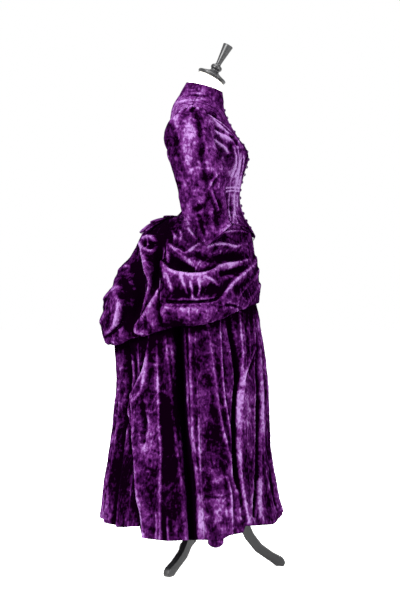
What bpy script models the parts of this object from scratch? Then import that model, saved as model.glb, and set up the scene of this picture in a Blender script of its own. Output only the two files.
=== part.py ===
"""A velvet bustle dress of the 1880s, worn by a limbless dress form on a tripod stand.

Units are metres. The wearer faces +X, their right side is -Y and the floor is Z = 0.
Shapes are worked out about the pole of the stand, and everything is placed by one empty.
"""

import math
from collections import namedtuple

import bmesh
import bpy
from mathutils import Vector

# The whole object
POLE_X = 0.0575
SIDES = {"right": 1, "left": -1}

# Cloth
WALL = 0.0022
SEAM_GAP = 0.0009
SKIRT_SEAM_GAP = 0.0012
SLEEVE_SEAM_GAP = 0.0030
SLEEVE_LAP = 0.0010
BODICE_ROWS = 19
CLOTH_TO_FORM = 0.0010

# Bodice closing
BUTTON_COUNT = 18
BUTTON_RADIUS = 0.0052
BUTTON_MARGIN = 0.018
BUTTON_GAP = 0.0007

# Tail of the bodice over the bustle
TAIL_PLEATS = 5
TAIL_REACH = 0.235
TAIL_WALL = 0.0020
TAIL_LIFT = 0.0018

# Stand
POLE_RADIUS = 0.0125
HUB_RADIUS = 0.022
HUB_LOW, HUB_HIGH = 0.215, 0.300
LEG_THICKNESS = 0.022
LEG_DIRECTIONS = (-6.0, -126.0, 114.0)
TORSO_LOW = 0.840
NECK_LEAN = math.radians(28)
NECK_TOP = Vector((0.000, 0.0, 1.5554))
NECK_RADIUS = 0.0415
FORM_TURNS = 32

Ring = namedtuple("Ring", "z_front z_back x_front x_back x_mid half_width")
Fold = namedtuple("Fold", "height above below path")
Trough = namedtuple("Trough", "top hem depth half_width")
SleeveRing = namedtuple("SleeveRing", "x y z half_width half_depth lean pitch")

# The bodice from its pointed basque up to the base of the neck
BODICE = [
    Ring(1.035, 1.080, 0.1360, -0.160, -0.010, 0.176),
    Ring(1.060, 1.097, 0.1320, -0.134, -0.005, 0.165),
    Ring(1.085, 1.110, 0.1200, -0.112, 0.000, 0.152),
    Ring(1.108, 1.125, 0.1075, -0.097, 0.002, 0.139),
    Ring(1.133, 1.140, 0.0990, -0.087, 0.003, 0.125),
    Ring(1.156, 1.158, 0.0934, -0.082, 0.003, 0.117),
    Ring(1.182, 1.182, 0.0920, -0.083, 0.003, 0.115),
    Ring(1.211, 1.211, 0.0950, -0.090, 0.002, 0.120),
    Ring(1.236, 1.236, 0.1030, -0.097, 0.000, 0.129),
    Ring(1.268, 1.268, 0.1120, -0.108, -0.005, 0.141),
    Ring(1.291, 1.291, 0.1180, -0.116, -0.008, 0.149),
    Ring(1.313, 1.314, 0.1160, -0.121, -0.010, 0.156),
    Ring(1.334, 1.336, 0.1075, -0.125, -0.014, 0.161),
    Ring(1.354, 1.358, 0.0910, -0.128, -0.020, 0.165),
    Ring(1.376, 1.384, 0.0780, -0.130, -0.028, 0.167),
    Ring(1.402, 1.414, 0.0620, -0.131, -0.036, 0.166),
    Ring(1.421, 1.439, 0.0530, -0.129, -0.042, 0.152),
    Ring(1.436, 1.460, 0.0470, -0.124, -0.044, 0.124),
    Ring(1.452, 1.478, 0.0420, -0.1165, -0.040, 0.090),
    Ring(1.470, 1.498, 0.0400, -0.104, -0.032, 0.064),
]
WAIST_SEAM_ROW = 2

# The standing collar, from its seam to its top edge
COLLAR = [
    Ring(1.4725, 1.5005, 0.0405, -0.1035, -0.032, 0.0630),
    Ring(1.491, 1.520, 0.0395, -0.0920, -0.027, 0.0590),
    Ring(1.508, 1.539, 0.0370, -0.0800, -0.022, 0.0570),
]

# The draped overskirt and the bustle behind it, from the waist to the turned-in lower edge
DRAPE = [
    Ring(1.085, 1.110, 0.1160, -0.1072, 0.000, 0.1465),
    Ring(1.058, 1.098, 0.1280, -0.165, -0.010, 0.160),
    Ring(1.025, 1.060, 0.1350, -0.215, -0.025, 0.172),
    Ring(0.985, 1.000, 0.1410, -0.248, -0.040, 0.190),
    Ring(0.945, 0.938, 0.1470, -0.290, -0.050, 0.208),
    Ring(0.905, 0.870, 0.1520, -0.329, -0.060, 0.222),
    Ring(0.875, 0.800, 0.1540, -0.349, -0.070, 0.232),
    Ring(0.850, 0.738, 0.1540, -0.347, -0.070, 0.234),
    Ring(0.836, 0.706, 0.1520, -0.330, -0.070, 0.224),
    Ring(0.846, 0.714, 0.1490, -0.312, -0.070, 0.212),
]
# Where the front drape ends and the bustle begins, in degrees from the front, on each DRAPE ring
DRAPE_SEAM = (126.0, 130.0, 126.0, 120.0, 115.0, 111.0, 108.0, 107.0, 107.0, 107.0)

# The trained underskirt, from the waist to the hem
SKIRT = [
    Ring(1.085, 1.110, 0.1130, -0.1044, 0.000, 0.1436),
    Ring(1.020, 1.030, 0.1210, -0.160, -0.020, 0.157),
    Ring(0.930, 0.930, 0.1290, -0.222, -0.045, 0.170),
    Ring(0.850, 0.850, 0.1430, -0.262, -0.060, 0.185),
    Ring(0.784, 0.784, 0.1555, -0.287, -0.068, 0.202),
    Ring(0.700, 0.700, 0.1680, -0.302, -0.070, 0.218),
    Ring(0.600, 0.600, 0.1800, -0.298, -0.068, 0.232),
    Ring(0.480, 0.480, 0.1880, -0.306, -0.064, 0.256),
    Ring(0.360, 0.360, 0.1930, -0.321, -0.062, 0.282),
    Ring(0.247, 0.247, 0.2130, -0.338, -0.060, 0.305),
    Ring(0.155, 0.146, 0.2310, -0.349, -0.058, 0.325),
]
HEM_DROOP = 0.020

# The form under the dress, below the waist seam, down to its flat base
FORM_HIPS = [
    Ring(1.085, 1.110, 0.1085, -0.1010, 0.000, 0.1394),
    Ring(1.030, 1.040, 0.1070, -0.120, -0.010, 0.143),
    Ring(0.960, 0.960, 0.1040, -0.128, -0.012, 0.142),
    Ring(0.890, 0.890, 0.0960, -0.118, -0.012, 0.134),
    Ring(0.840, 0.840, 0.0850, -0.105, -0.012, 0.122),
]

# The armhole, as an oval on the bodice: rows of BODICE and degrees from the front
ARMHOLE_LOW, ARMHOLE_HIGH = 0.526, 0.842
ARMHOLE_MIDDLE = 100.0
ARMHOLE_FRONT, ARMHOLE_BACK = 19.0, 27.0
FRONT_SEAM, BACK_SEAM = 86.0, 118.0

DRAPE_GAP_DEGREES = 0.25
# How far up the bodice rows its lower edge lies, by degrees from the front
BASQUE_EDGE = ((0.0, 0.000), (12.0, 0.040), (30.0, 0.075), (70.0, 0.085), (118.0, 0.105), (150.0, 0.120), (180.0, 0.125))

# Soft folds of the bodice front, seen from the side: points are (x, z)
BODICE_FOLDS = [
    Fold(0.0060, 0.010, 0.008, ((-0.035, 1.456), (0.011, 1.410), (0.064, 1.342), (0.090, 1.292))),
    Fold(0.0050, 0.009, 0.009, ((0.096, 1.300), (0.088, 1.230), (0.076, 1.165), (0.078, 1.085))),
    Fold(0.0050, 0.009, 0.007, ((0.002, 1.377), (0.051, 1.347), (0.085, 1.317))),
    Fold(0.0040, 0.008, 0.007, ((0.012, 1.342), (0.044, 1.326), (0.070, 1.295))),
]

# Swags of the front drape, seen from the side: points are (x, z), a trough has a negative height
SWAG_FOLDS = [
    Fold(0.012, 0.018, 0.014, ((-0.125, 1.062), (-0.085, 1.050), (-0.045, 1.040))),
    Fold(0.010, 0.010, 0.012, ((-0.020, 1.008), (0.030, 1.018), (0.083, 1.008), (0.150, 1.000))),
    Fold(-0.009, 0.016, 0.016, ((-0.010, 0.982), (0.060, 0.985), (0.110, 0.980))),
    Fold(0.008, 0.009, 0.009, ((-0.135, 1.018), (-0.096, 0.996), (-0.058, 0.955))),
    Fold(-0.014, 0.018, 0.018, ((-0.118, 0.968), (-0.092, 0.955))),
    Fold(0.016, 0.009, 0.020, ((-0.150, 0.955), (-0.115, 0.928), (-0.026, 0.922), (0.004, 0.937), (0.040, 0.954),
                               (0.088, 0.964), (0.150, 0.962))),
    Fold(-0.010, 0.012, 0.014, ((0.015, 0.915), (0.060, 0.928), (0.100, 0.940))),
    Fold(0.012, 0.010, 0.014, ((0.122, 0.950), (0.059, 0.900), (0.040, 0.870), (0.020, 0.840))),
    Fold(-0.012, 0.010, 0.012, ((-0.140, 0.842), (-0.060, 0.840), (0.015, 0.842))),
    Fold(0.016, 0.020, 0.026, ((-0.150, 0.806), (-0.050, 0.806), (0.030, 0.812), (0.075, 0.838))),
    Fold(0.007, 0.010, 0.012, ((0.040, 0.812), (0.090, 0.832), (0.135, 0.868))),
]

# Poufs and deep folds of the bustle, seen from the side
BUSTLE_FOLDS = [
    Fold(0.012, 0.020, 0.022, ((-0.262, 0.975), (-0.300, 0.905), (-0.322, 0.830), (-0.322, 0.765))),
    Fold(-0.026, 0.016, 0.016, ((-0.236, 0.970), (-0.262, 0.880), (-0.272, 0.800))),
    Fold(0.014, 0.012, 0.012, ((-0.222, 1.040), (-0.212, 0.975), (-0.208, 0.900), (-0.226, 0.820), (-0.240, 0.770))),
    Fold(-0.026, 0.014, 0.014, ((-0.172, 1.030), (-0.178, 0.950), (-0.186, 0.880))),
    Fold(0.018, 0.014, 0.014, ((-0.166, 0.900), (-0.182, 0.830), (-0.196, 0.770))),
    Fold(0.010, 0.018, 0.018, ((-0.228, 1.040), (-0.195, 1.050))),
]

# Troughs between the pleats of the underskirt on one side, in degrees from the front
TROUGHS = [
    Trough(8.0, 14.0, 0.011, 2.6),
    Trough(24.0, 43.0, 0.013, 2.4),
    Trough(50.0, 55.0, 0.024, 3.0),
    Trough(75.0, 67.0, 0.012, 2.4),
    Trough(97.0, 92.0, 0.024, 4.0),
    Trough(112.0, 105.0, 0.026, 4.0),
    Trough(124.0, 123.0, 0.022, 3.0),
    Trough(140.0, 142.0, 0.018, 3.6),
    Trough(153.0, 155.0, 0.016, 3.6),
    Trough(168.0, 169.0, 0.018, 4.0),
]
GORE_SEAMS = ((36.0, 49.0), (85.0, 82.5), (132.0, 132.5))
PLEATS_FADE = 0.30

# One sleeve from below its head to the wrist: half_width runs from front to back, half_depth across
SLEEVE = [
    SleeveRing(-0.059, 0.1660, 1.3625, 0.069, 0.0744, 81.0, 0.0),
    SleeveRing(-0.071, 0.1790, 1.3435, 0.075, 0.0700, 72.0, 0.0),
    SleeveRing(-0.064, 0.1870, 1.3185, 0.075, 0.0606, 62.0, 0.0),
    SleeveRing(-0.054, 0.1900, 1.2875, 0.076, 0.0493, 49.5, 0.0),
    SleeveRing(-0.042, 0.1900, 1.2535, 0.078, 0.0402, 32.0, 0.0),
    SleeveRing(-0.0335, 0.1880, 1.2160, 0.0765, 0.0360, 14.5, 0.0),
    SleeveRing(-0.029, 0.1880, 1.1800, 0.0730, 0.0340, 4.0, 0.0),
    SleeveRing(-0.0275, 0.1900, 1.1500, 0.0715, 0.0320, 0.0, 0.0),
    SleeveRing(-0.0215, 0.1960, 1.1190, 0.0694, 0.0300, 0.0, 9.0),
    SleeveRing(-0.0060, 0.2050, 1.0875, 0.0597, 0.0280, 0.0, 20.0),
    SleeveRing(0.0088, 0.2130, 1.0600, 0.0533, 0.0260, 0.0, 33.0),
    SleeveRing(0.0227, 0.2200, 1.0385, 0.0486, 0.0250, 0.0, 41.0),
]
CUFF_START = 0.955
SLEEVE_FRONT_SEAM, SLEEVE_BACK_SEAM = -35.0, 205.0

# Long soft creases down the sleeve: points are (x, z)
SLEEVE_FOLDS = [
    Fold(-0.006, 0.010, 0.010, ((-0.045, 1.400), (-0.030, 1.340), (-0.016, 1.250), (-0.010, 1.180))),
    Fold(-0.005, 0.006, 0.008, ((0.010, 1.215), (-0.008, 1.178))),
    Fold(-0.005, 0.008, 0.006, ((-0.008, 1.172), (0.020, 1.130))),
]

# The turned neck cap: (radius, height above the neck)
CAP_PROFILE = (
    (0.0165, 0.119), (0.0165, 0.114), (0.0130, 0.090), (0.0100, 0.066), (0.0085, 0.050), (0.0115, 0.046),
    (0.0175, 0.039), (0.0180, 0.033), (0.0140, 0.027), (0.0200, 0.020), (0.0360, 0.0135), (0.0470, 0.0095),
    (0.0480, 0.0060), (0.0465, 0.0030), (0.0420, 0.0006),
)

# One leg, sawn from a board: (distance from the pole, height, width of the board there)
LEG_LINE = (
    (0.036, 0.278, 0.040), (0.062, 0.238, 0.038), (0.084, 0.188, 0.035), (0.102, 0.140, 0.033),
    (0.122, 0.094, 0.031), (0.152, 0.056, 0.029), (0.190, 0.030, 0.027), (0.222, 0.0155, 0.025),
)


def clear_scene():
    for obj in list(bpy.data.objects):
        bpy.data.objects.remove(obj, do_unlink=True)


def finish(name, colour, roughness, metallic=0.0):
    """A plain material of one colour."""
    material = bpy.data.materials.new(name)
    material.use_nodes = True
    shader = material.node_tree.nodes["Principled BSDF"]
    shader.inputs["Base Color"].default_value = (*colour, 1.0)
    shader.inputs["Roughness"].default_value = roughness
    shader.inputs["Metallic"].default_value = metallic
    return material


def blended(before, here, there, after, share):
    """A value on the smooth curve that runs from here to there."""
    bend = 2 * before - 5 * here + 4 * there - after
    twist = 3 * here - before - 3 * there + after
    return here + 0.5 * share * ((there - before) + share * (bend + share * twist))


def row_at(rows, place):
    """The row at a place from 0, the first, to 1, the last, on a smooth curve through them all."""
    last = len(rows) - 1
    where = min(max(place, 0.0), 1.0) * last
    first = min(int(where), last - 1)
    four = [rows[min(max(index, 0), last)] for index in range(first - 1, first + 3)]
    values = (blended(*column, where - first) for column in zip(*four))
    return type(rows[0])(*values) if hasattr(rows[0], "_fields") else tuple(values)


def along_table(table, key):
    """The value at a key, straight between the rows of a (key, value) table."""
    for (low, first), (high, second) in zip(table, table[1:]):
        if key <= high:
            return first + (second - first) * (key - low) / (high - low)
    return table[-1][1]


def on_ring(ring, degrees, inward=0.0):
    """A point of a ring. 0 degrees is the front, 90 the wearer's right and 180 the back."""
    forward, right = math.cos(math.radians(degrees)), math.sin(math.radians(degrees))
    reach = ring.x_front - ring.x_mid if forward > 0 else ring.x_mid - ring.x_back
    x = ring.x_mid + (reach - inward) * forward
    y = -(ring.half_width - inward) * right
    rise = (x - ring.x_back) / (ring.x_front - ring.x_back)
    return Vector((x, y, ring.z_back + (ring.z_front - ring.z_back) * rise))


def fold_lift(folds, x, z):
    """How far the folds raise the cloth at a point seen from the side."""
    lift = 0.0
    for fold in folds:
        nearest, above = 1.0, 0.0
        for (x0, z0), (x1, z1) in zip(fold.path, fold.path[1:]):
            dx, dz = x1 - x0, z1 - z0
            share = ((x - x0) * dx + (z - z0) * dz) / (dx * dx + dz * dz)
            share = min(max(share, 0.0), 1.0)
            away_x, away_z = x - x0 - share * dx, z - z0 - share * dz
            distance = math.hypot(away_x, away_z)
            if distance < nearest:
                nearest = distance
                above = away_z / distance if distance > 0 else 0.0
        spread = fold.below + (fold.above - fold.below) * (0.5 + 0.5 * above)
        lift += fold.height * math.exp(-((nearest / spread) ** 2))
    return lift


def outward(surface, u, v, step=0.004):
    """The direction that faces away from the body at a point of a surface of degrees and rows."""
    across = surface(u + 1.0, v) - surface(u - 1.0, v)
    up = surface(u, min(v + step, 1.0)) - surface(u, max(v - step, 0.0))
    normal = across.cross(up).normalized()
    away = surface(u, v) - Vector((surface(u + 180.0, v) + surface(u, v)) / 2)
    return normal if normal.dot(away) > 0 else -normal


def cloth(name, points, columns, rows, material, wall=WALL):
    """A wall of cloth: a grid of columns and rows bent to points(u, v), thickened towards the body."""
    bm = bmesh.new()
    bmesh.ops.create_grid(bm, x_segments=columns, y_segments=rows, size=0.5)
    for vertex in bm.verts:
        vertex.co = points(vertex.co.x + 0.5, vertex.co.y + 0.5)
    middle = sum((vertex.co for vertex in bm.verts), Vector()) / len(bm.verts)
    bm.normal_update()
    core = Vector((middle.x * 0.2 - 0.02, 0.0, middle.z - 0.01))
    facing = sum(face.normal.dot(face.calc_center_median() - core) for face in bm.faces)
    if facing < 0:
        bmesh.ops.reverse_faces(bm, faces=bm.faces[:])
    obj = mesh_object(name, bm, material)
    thicken = obj.modifiers.new("wall", "SOLIDIFY")
    thicken.thickness = wall
    thicken.offset = -1.0
    thicken.use_even_offset = False
    return obj


def mesh_object(name, bm, material, smooth=True):
    mesh = bpy.data.meshes.new(name)
    bm.to_mesh(mesh)
    bm.free()
    if smooth:
        mesh.shade_smooth()
        mesh.set_sharp_from_angle(angle=math.radians(50))
    return place(bpy.data.objects.new(name, mesh), material)


def place(obj, material):
    obj.data.materials.append(material)
    bpy.data.collections["bustle_dress"].objects.link(obj)
    obj.parent = bpy.data.objects["pole_axis"]
    return obj


def bodice_base(degrees, row):
    """The outer face of the bodice, with a gentle bust."""
    point = on_ring(row_at(BODICE, row), degrees)
    side = abs((degrees + 180.0) % 360.0 - 180.0)
    bust = 0.010 * math.exp(-(((side - 34.0) / 20.0) ** 2) - ((point.z - 1.298) / 0.045) ** 2)
    point.x += bust
    point.y *= 1.0 + 0.5 * bust / 0.15
    return point


def bodice(degrees, row):
    """The bodice with its folds."""
    point = bodice_base(degrees, row)
    lift = fold_lift(BODICE_FOLDS, point.x, point.z)
    return point + outward(bodice_base, degrees, row) * lift


def armhole(turn, share=1.0):
    """Degrees and row of the armhole's edge: turn 0 is its front, 90 its top, 180 its back."""
    forward, up = math.cos(math.radians(turn)), math.sin(math.radians(turn))
    reach = ARMHOLE_FRONT if forward > 0 else ARMHOLE_BACK
    row = (ARMHOLE_LOW + ARMHOLE_HIGH) / 2 + share * up * (ARMHOLE_HIGH - ARMHOLE_LOW) / 2
    return ARMHOLE_MIDDLE - share * forward * reach, row


def armhole_edge(row, seam, reach):
    """Where a front or back panel ends at a row: at its side seam, the armhole or the shoulder."""
    middle = (ARMHOLE_LOW + ARMHOLE_HIGH) / 2
    height = (row - middle) / ((ARMHOLE_HIGH - ARMHOLE_LOW) / 2)
    if row >= ARMHOLE_HIGH:
        return ARMHOLE_MIDDLE
    width = reach * math.sqrt(max(0.0, 1.0 - height * height))
    edge = ARMHOLE_MIDDLE + math.copysign(width, seam - ARMHOLE_MIDDLE)
    below = row < middle
    nearer = abs(edge - ARMHOLE_MIDDLE) < abs(seam - ARMHOLE_MIDDLE)
    return seam if below and nearer else edge


def gap_degrees(radius, gap=SEAM_GAP):
    """Half of a seam's gap, as degrees round the body."""
    return math.degrees(gap / 2 / radius)


def bodice_row(degrees, v):
    """The row of a bodice panel at a share of its height: every ring, but for a few by the lower edge."""
    low = along_table(BASQUE_EDGE, degrees)
    return min(max(low + 0.012 * v * BODICE_ROWS, v), 0.9985)


def bodice_panel(name, side, centre, seam, reach, columns, velvet):
    """A front or back of the bodice, from the centre line to the side seam, armhole and shoulder."""
    inset = math.copysign(gap_degrees(0.13), seam - centre)

    def point(u, v):
        row = bodice_row(centre + (seam - centre) * u, v)
        at_seam = inset * (3.0 if row >= ARMHOLE_HIGH else 1.6)
        edge = armhole_edge(row, seam, reach)
        degrees = centre + (edge - at_seam - centre) * u
        spot = bodice(side * degrees, row)
        if u < 0.001:
            spot.y = -side * SEAM_GAP / 2
        return spot

    return cloth(name, point, columns, BODICE_ROWS, velvet)


def side_panel(name, side, velvet):
    """The piece under the arm, whose top is the lower edge of the armhole."""
    inset = gap_degrees(0.13)

    def point(u, v):
        degrees = FRONT_SEAM + inset + (BACK_SEAM - FRONT_SEAM - 2 * inset) * u
        reach = ARMHOLE_FRONT if degrees < ARMHOLE_MIDDLE else ARMHOLE_BACK
        across = (degrees - ARMHOLE_MIDDLE) / reach
        half = (ARMHOLE_HIGH - ARMHOLE_LOW) / 2
        top = (ARMHOLE_LOW + ARMHOLE_HIGH) / 2 - half * math.sqrt(1.0 - across * across)
        low = along_table(BASQUE_EDGE, degrees)
        return bodice(side * degrees, low + (top - low) * v)

    return cloth(name, point, 5, 8, velvet)


def collar_band(velvet):
    """The standing collar, closed edge to edge at the front."""
    half_gap = gap_degrees(0.055)

    def point(u, v):
        return on_ring(row_at(COLLAR, v), half_gap + (360.0 - 2 * half_gap) * u)

    return cloth("collar", point, 28, 3, velvet)


def closing_seats():
    """Evenly spaced seats of the buttons down the closing edges, each with the way it faces."""
    edge = [bodice(0.0, bodice_row(0.0, 1.0 - step / BODICE_ROWS)) for step in range(BODICE_ROWS + 1)]
    lengths = [(after - before).length for before, after in zip(edge, edge[1:])]
    spacing = (sum(lengths) - 2 * BUTTON_MARGIN) / (BUTTON_COUNT - 1)
    for number in range(BUTTON_COUNT):
        along, piece = BUTTON_MARGIN + spacing * number, 0
        while along > lengths[piece]:
            along -= lengths[piece]
            piece += 1
        run = (edge[piece + 1] - edge[piece]).normalized()
        yield edge[piece] + run * along, Vector((-run.z, 0.0, run.x))


def buttons(dyed_horn):
    """Small domed buttons down the front, over its closing edges."""
    for number, (seat, normal) in enumerate(closing_seats(), start=1):
        bm = bmesh.new()
        bmesh.ops.create_uvsphere(bm, u_segments=8, v_segments=4, radius=BUTTON_RADIUS)
        for vertex in bm.verts:
            vertex.co.z = max(vertex.co.z * 0.75, -0.3 * BUTTON_RADIUS)
        bmesh.ops.dissolve_degenerate(bm, dist=1e-5, edges=bm.edges[:])
        obj = mesh_object(f"button_{number:02d}", bm, dyed_horn)
        obj.rotation_mode = "QUATERNION"
        obj.rotation_quaternion = normal.to_track_quat("Z", "Y")
        obj.location = seat + normal * (0.3 * BUTTON_RADIUS + BUTTON_GAP)


def sleeve_ring_point(ring, turn):
    """A point of a sleeve ring on the right arm: turn 0 is the front, 90 the outer side."""
    lean, pitch = math.radians(ring.lean), math.radians(ring.pitch)
    front = Vector((math.cos(pitch), 0.0, math.sin(pitch)))
    outer = Vector((0.0, -math.cos(lean), math.sin(lean)))
    forward, out = math.cos(math.radians(turn)), math.sin(math.radians(turn))
    centre = Vector((ring.x, -ring.y, ring.z))
    return centre + front * ring.half_width * forward + outer * ring.half_depth * out


def sleeve_base(turn, length):
    """The right sleeve's outer face: length 0 is the armhole and 1 the wrist."""
    places = len(SLEEVE)
    where = min(max(length, 0.0), 1.0) * places
    first = min(int(where), places - 1)
    rows = []
    for index in range(first - 1, first + 3):
        if index <= 0:
            degrees, row = armhole(turn, share=1.05)
            forward, up = math.cos(math.radians(turn)), math.sin(math.radians(turn))
            lap = SLEEVE_LAP * (1.5 + 0.6 * up + 1.8 * max(0.0, forward))
            rows.append(tuple(bodice_base(degrees, row) + outward(bodice_base, degrees, row) * lap))
        else:
            rows.append(tuple(sleeve_ring_point(SLEEVE[min(index, places) - 1], turn)))
    return Vector(blended(*column, where - first) for column in zip(*rows))


def sleeve(turn, length):
    """The sleeve with the gathers of its head and its long creases."""
    point = sleeve_base(turn, length)
    away = (point - (point + sleeve_base(turn + 180.0, length)) / 2).normalized()
    top = math.exp(-(((turn - 90.0) / 34.0) ** 2))
    gathers = 0.0018 * top * math.cos(math.radians((turn - 90.0) * 24.0))
    head = math.sin(math.pi * min(length / 0.16, 1.0))
    outer_side = max(0.0, math.sin(math.radians(turn)))
    creases = fold_lift(SLEEVE_FOLDS, point.x, point.z) * min(1.0, length / 0.12) * outer_side
    return point + away * (gathers * head + creases)


def sleeve_panel(name, side, start, end, columns, velvet):
    """The top or under piece of a two-piece sleeve, between two turns of the arm."""
    inset = gap_degrees(0.05, SLEEVE_SEAM_GAP)

    def point(u, v):
        turn = start + inset + (end - start - 2 * inset) * u
        spot = sleeve(turn, v * (CUFF_START - 0.004))
        spot.y *= side
        return spot

    return cloth(name, point, columns, 12, velvet)


def cuff(name, side, velvet):
    """A narrow turned band round the wrist, proud of the sleeve."""
    bm = bmesh.new()
    turns, levels = 20, 2
    rings = []
    for face_offset in (0.0008, 0.0008 - WALL):
        for level in range(levels):
            length = CUFF_START + (1.0 - CUFF_START) * level / (levels - 1)
            loop = []
            for step in range(turns):
                turn = 360.0 * step / turns
                spot = sleeve_base(turn, length)
                away = (spot - sleeve_base(turn + 180.0, length)).normalized()
                spot = spot + away * face_offset
                loop.append(bm.verts.new((spot.x, spot.y * side, spot.z)))
            rings.append(loop)
    outer_top, outer_low, inner_top, inner_low = rings
    order = (outer_top, outer_low, inner_low, inner_top)
    for first, second in zip(order, order[1:] + order[:1]):
        for step in range(turns):
            after = (step + 1) % turns
            bm.faces.new((first[step], first[after], second[after], second[step]))
    bmesh.ops.recalc_face_normals(bm, faces=bm.faces[:])
    return mesh_object(name, bm, velvet)


def drape_seam(row):
    """Degrees from the front where the front drape meets the bustle, at a row of the drape."""
    return row_at([(value,) for value in DRAPE_SEAM], row)[0]


def drape_base(degrees, row):
    return on_ring(row_at(DRAPE, row), degrees)


def draped(folds, degrees, row):
    """The overskirt with its folds, which die out at the waist and at the turned-in edge."""
    point = drape_base(degrees, row)
    fade = min(1.0, row / 0.12) * min(1.0, (1.0 - row) / 0.12)
    fade *= 1.0 - 0.55 * math.exp(-((((degrees + 180.0) % 360.0 - 180.0) / 42.0) ** 2))
    return point + outward(drape_base, degrees, row) * fold_lift(folds, point.x, point.z) * fade


def front_drape(velvet):
    """The apron: one width of cloth pulled across the hips in swags and up to the bustle."""

    def point(u, v):
        row = 1.0 - v
        seam = drape_seam(row) - DRAPE_GAP_DEGREES
        return draped(SWAG_FOLDS, seam * (2.0 * u - 1.0), row)

    return cloth("front_drape", point, 32, 14, velvet)


def bustle_drape(velvet):
    """The puffed back breadths over the bustle."""

    def point(u, v):
        row = 1.0 - v
        seam = drape_seam(row) + DRAPE_GAP_DEGREES
        degrees = seam + (360.0 - 2 * seam) * u
        edge = min(1.0, min(u, 1.0 - u) / 0.08)
        spot = draped(BUSTLE_FOLDS, degrees, row)
        return drape_base(degrees, row).lerp(spot, edge)

    return cloth("bustle_drape", point, 26, 14, velvet)


def basque_tail(velvet):
    """The pleated tail of the bodice, which lies on top of the bustle."""

    def point(u, v):
        across = 2.0 * u - 1.0
        pleat = abs(math.sin(across * math.pi * TAIL_PLEATS / 2))
        row = 0.012 + TAIL_REACH * v * (0.90 + 0.10 * pleat)
        degrees = 180.0 + across * (27.0 + 4.0 * v)
        seat = draped(BUSTLE_FOLDS, degrees, row)
        lift = TAIL_WALL + TAIL_LIFT + 0.007 * pleat * min(1.0, v * 2.0)
        return seat + outward(drape_base, degrees, row) * lift

    return cloth("basque_tail", point, 20, 5, velvet, wall=TAIL_WALL)


def trough_depth(degrees, row):
    """How far the underskirt is folded in at a place between its pleats."""
    side = abs((degrees + 180.0) % 360.0 - 180.0)
    grown = min(1.0, row / PLEATS_FADE)
    depth = 0.0
    for trough in TROUGHS:
        centre = trough.top + (trough.hem - trough.top) * row
        depth += trough.depth * math.exp(-(((side - centre) / trough.half_width) ** 2))
    return depth * grown * grown


def skirt(degrees, row):
    ring = row_at(SKIRT, row)
    point = on_ring(ring, degrees, inward=trough_depth(degrees, row))
    sideways = math.sin(math.radians(degrees)) ** 2
    point.z -= HEM_DROOP * sideways * max(0.0, row - 0.5) * 2.0
    return point


def gore_columns(low, high):
    """The columns of a gore as (waist, hem) degrees: each trough's sides and bottom, and the crests."""
    columns = [low]
    for trough in TROUGHS:
        if low[0] < trough.top < high[0]:
            for share in (-1.5, -0.7, 0.0, 0.7, 1.5):
                shift = share * trough.half_width
                columns.append((trough.top + shift, trough.hem + shift))
    columns.append(high)
    return columns


def skirt_gore(name, columns, rows, velvet):
    """A gore of the underskirt between its first and last columns."""

    def point(u, v):
        index = round(u * (len(columns) - 1))
        waist, hem = columns[index]
        row = 1.0 - v
        inset = (index == 0) - (index == len(columns) - 1)
        degrees = waist + (hem - waist) * row + inset * gap_degrees(0.2, SKIRT_SEAM_GAP)
        return skirt(degrees, row)

    return cloth(name, point, len(columns) - 1, rows, velvet)


def underskirt(velvet):
    """Six gores round the skirt: front, two at each side and the back."""
    front, side_front, side_back = GORE_SEAMS
    half = gore_columns((0.0, 0.0), front)[1:]
    mirrored = [(-waist, -hem) for waist, hem in reversed(half)]
    skirt_gore("skirt_front", mirrored + [(0.0, 0.0)] + half, 7, velvet)
    back = gore_columns(side_back, (180.0, 180.0))[:-1]
    round_back = [(360.0 - waist, 360.0 - hem) for waist, hem in reversed(back)]
    skirt_gore("skirt_back", back + [(180.0, 180.0)] + round_back, 7, velvet)
    for side_name, side in SIDES.items():
        for gore, low, high in (("side_front", front, side_front), ("side_back", side_front, side_back)):
            columns = [(side * waist, side * hem) for waist, hem in gore_columns(low, high)]
            skirt_gore(f"skirt_{gore}_{side_name}", columns[::side], 7, velvet)


def hem_fold(velvet):
    """A small fold of the hem facing that has dropped below the hem on the right side."""
    before, after = TROUGHS[3], GORE_SEAMS[1]
    start, end = skirt(before.hem + 1.5 * before.half_width, 1.0), skirt(after[1], 1.0)
    inward = (Vector((SKIRT[-1].x_mid, 0.0, start.z)) - start.lerp(end, 0.5)).normalized()

    def point(u, v):
        spot = start.lerp(end, 0.04 + 0.92 * u) + inward * (WALL - 0.0005 + 0.0070 * v)
        spot.z += 0.026 * v - (1.0 - v) * 0.030 * math.sqrt(math.sin(math.pi * (0.08 + 0.84 * u)))
        return spot

    return cloth("hem_fold", point, 8, 3, velvet)


def shrunk(ring, inward):
    return ring._replace(
        x_front=ring.x_front - inward,
        x_back=ring.x_back + inward,
        half_width=ring.half_width - inward,
    )


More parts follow.
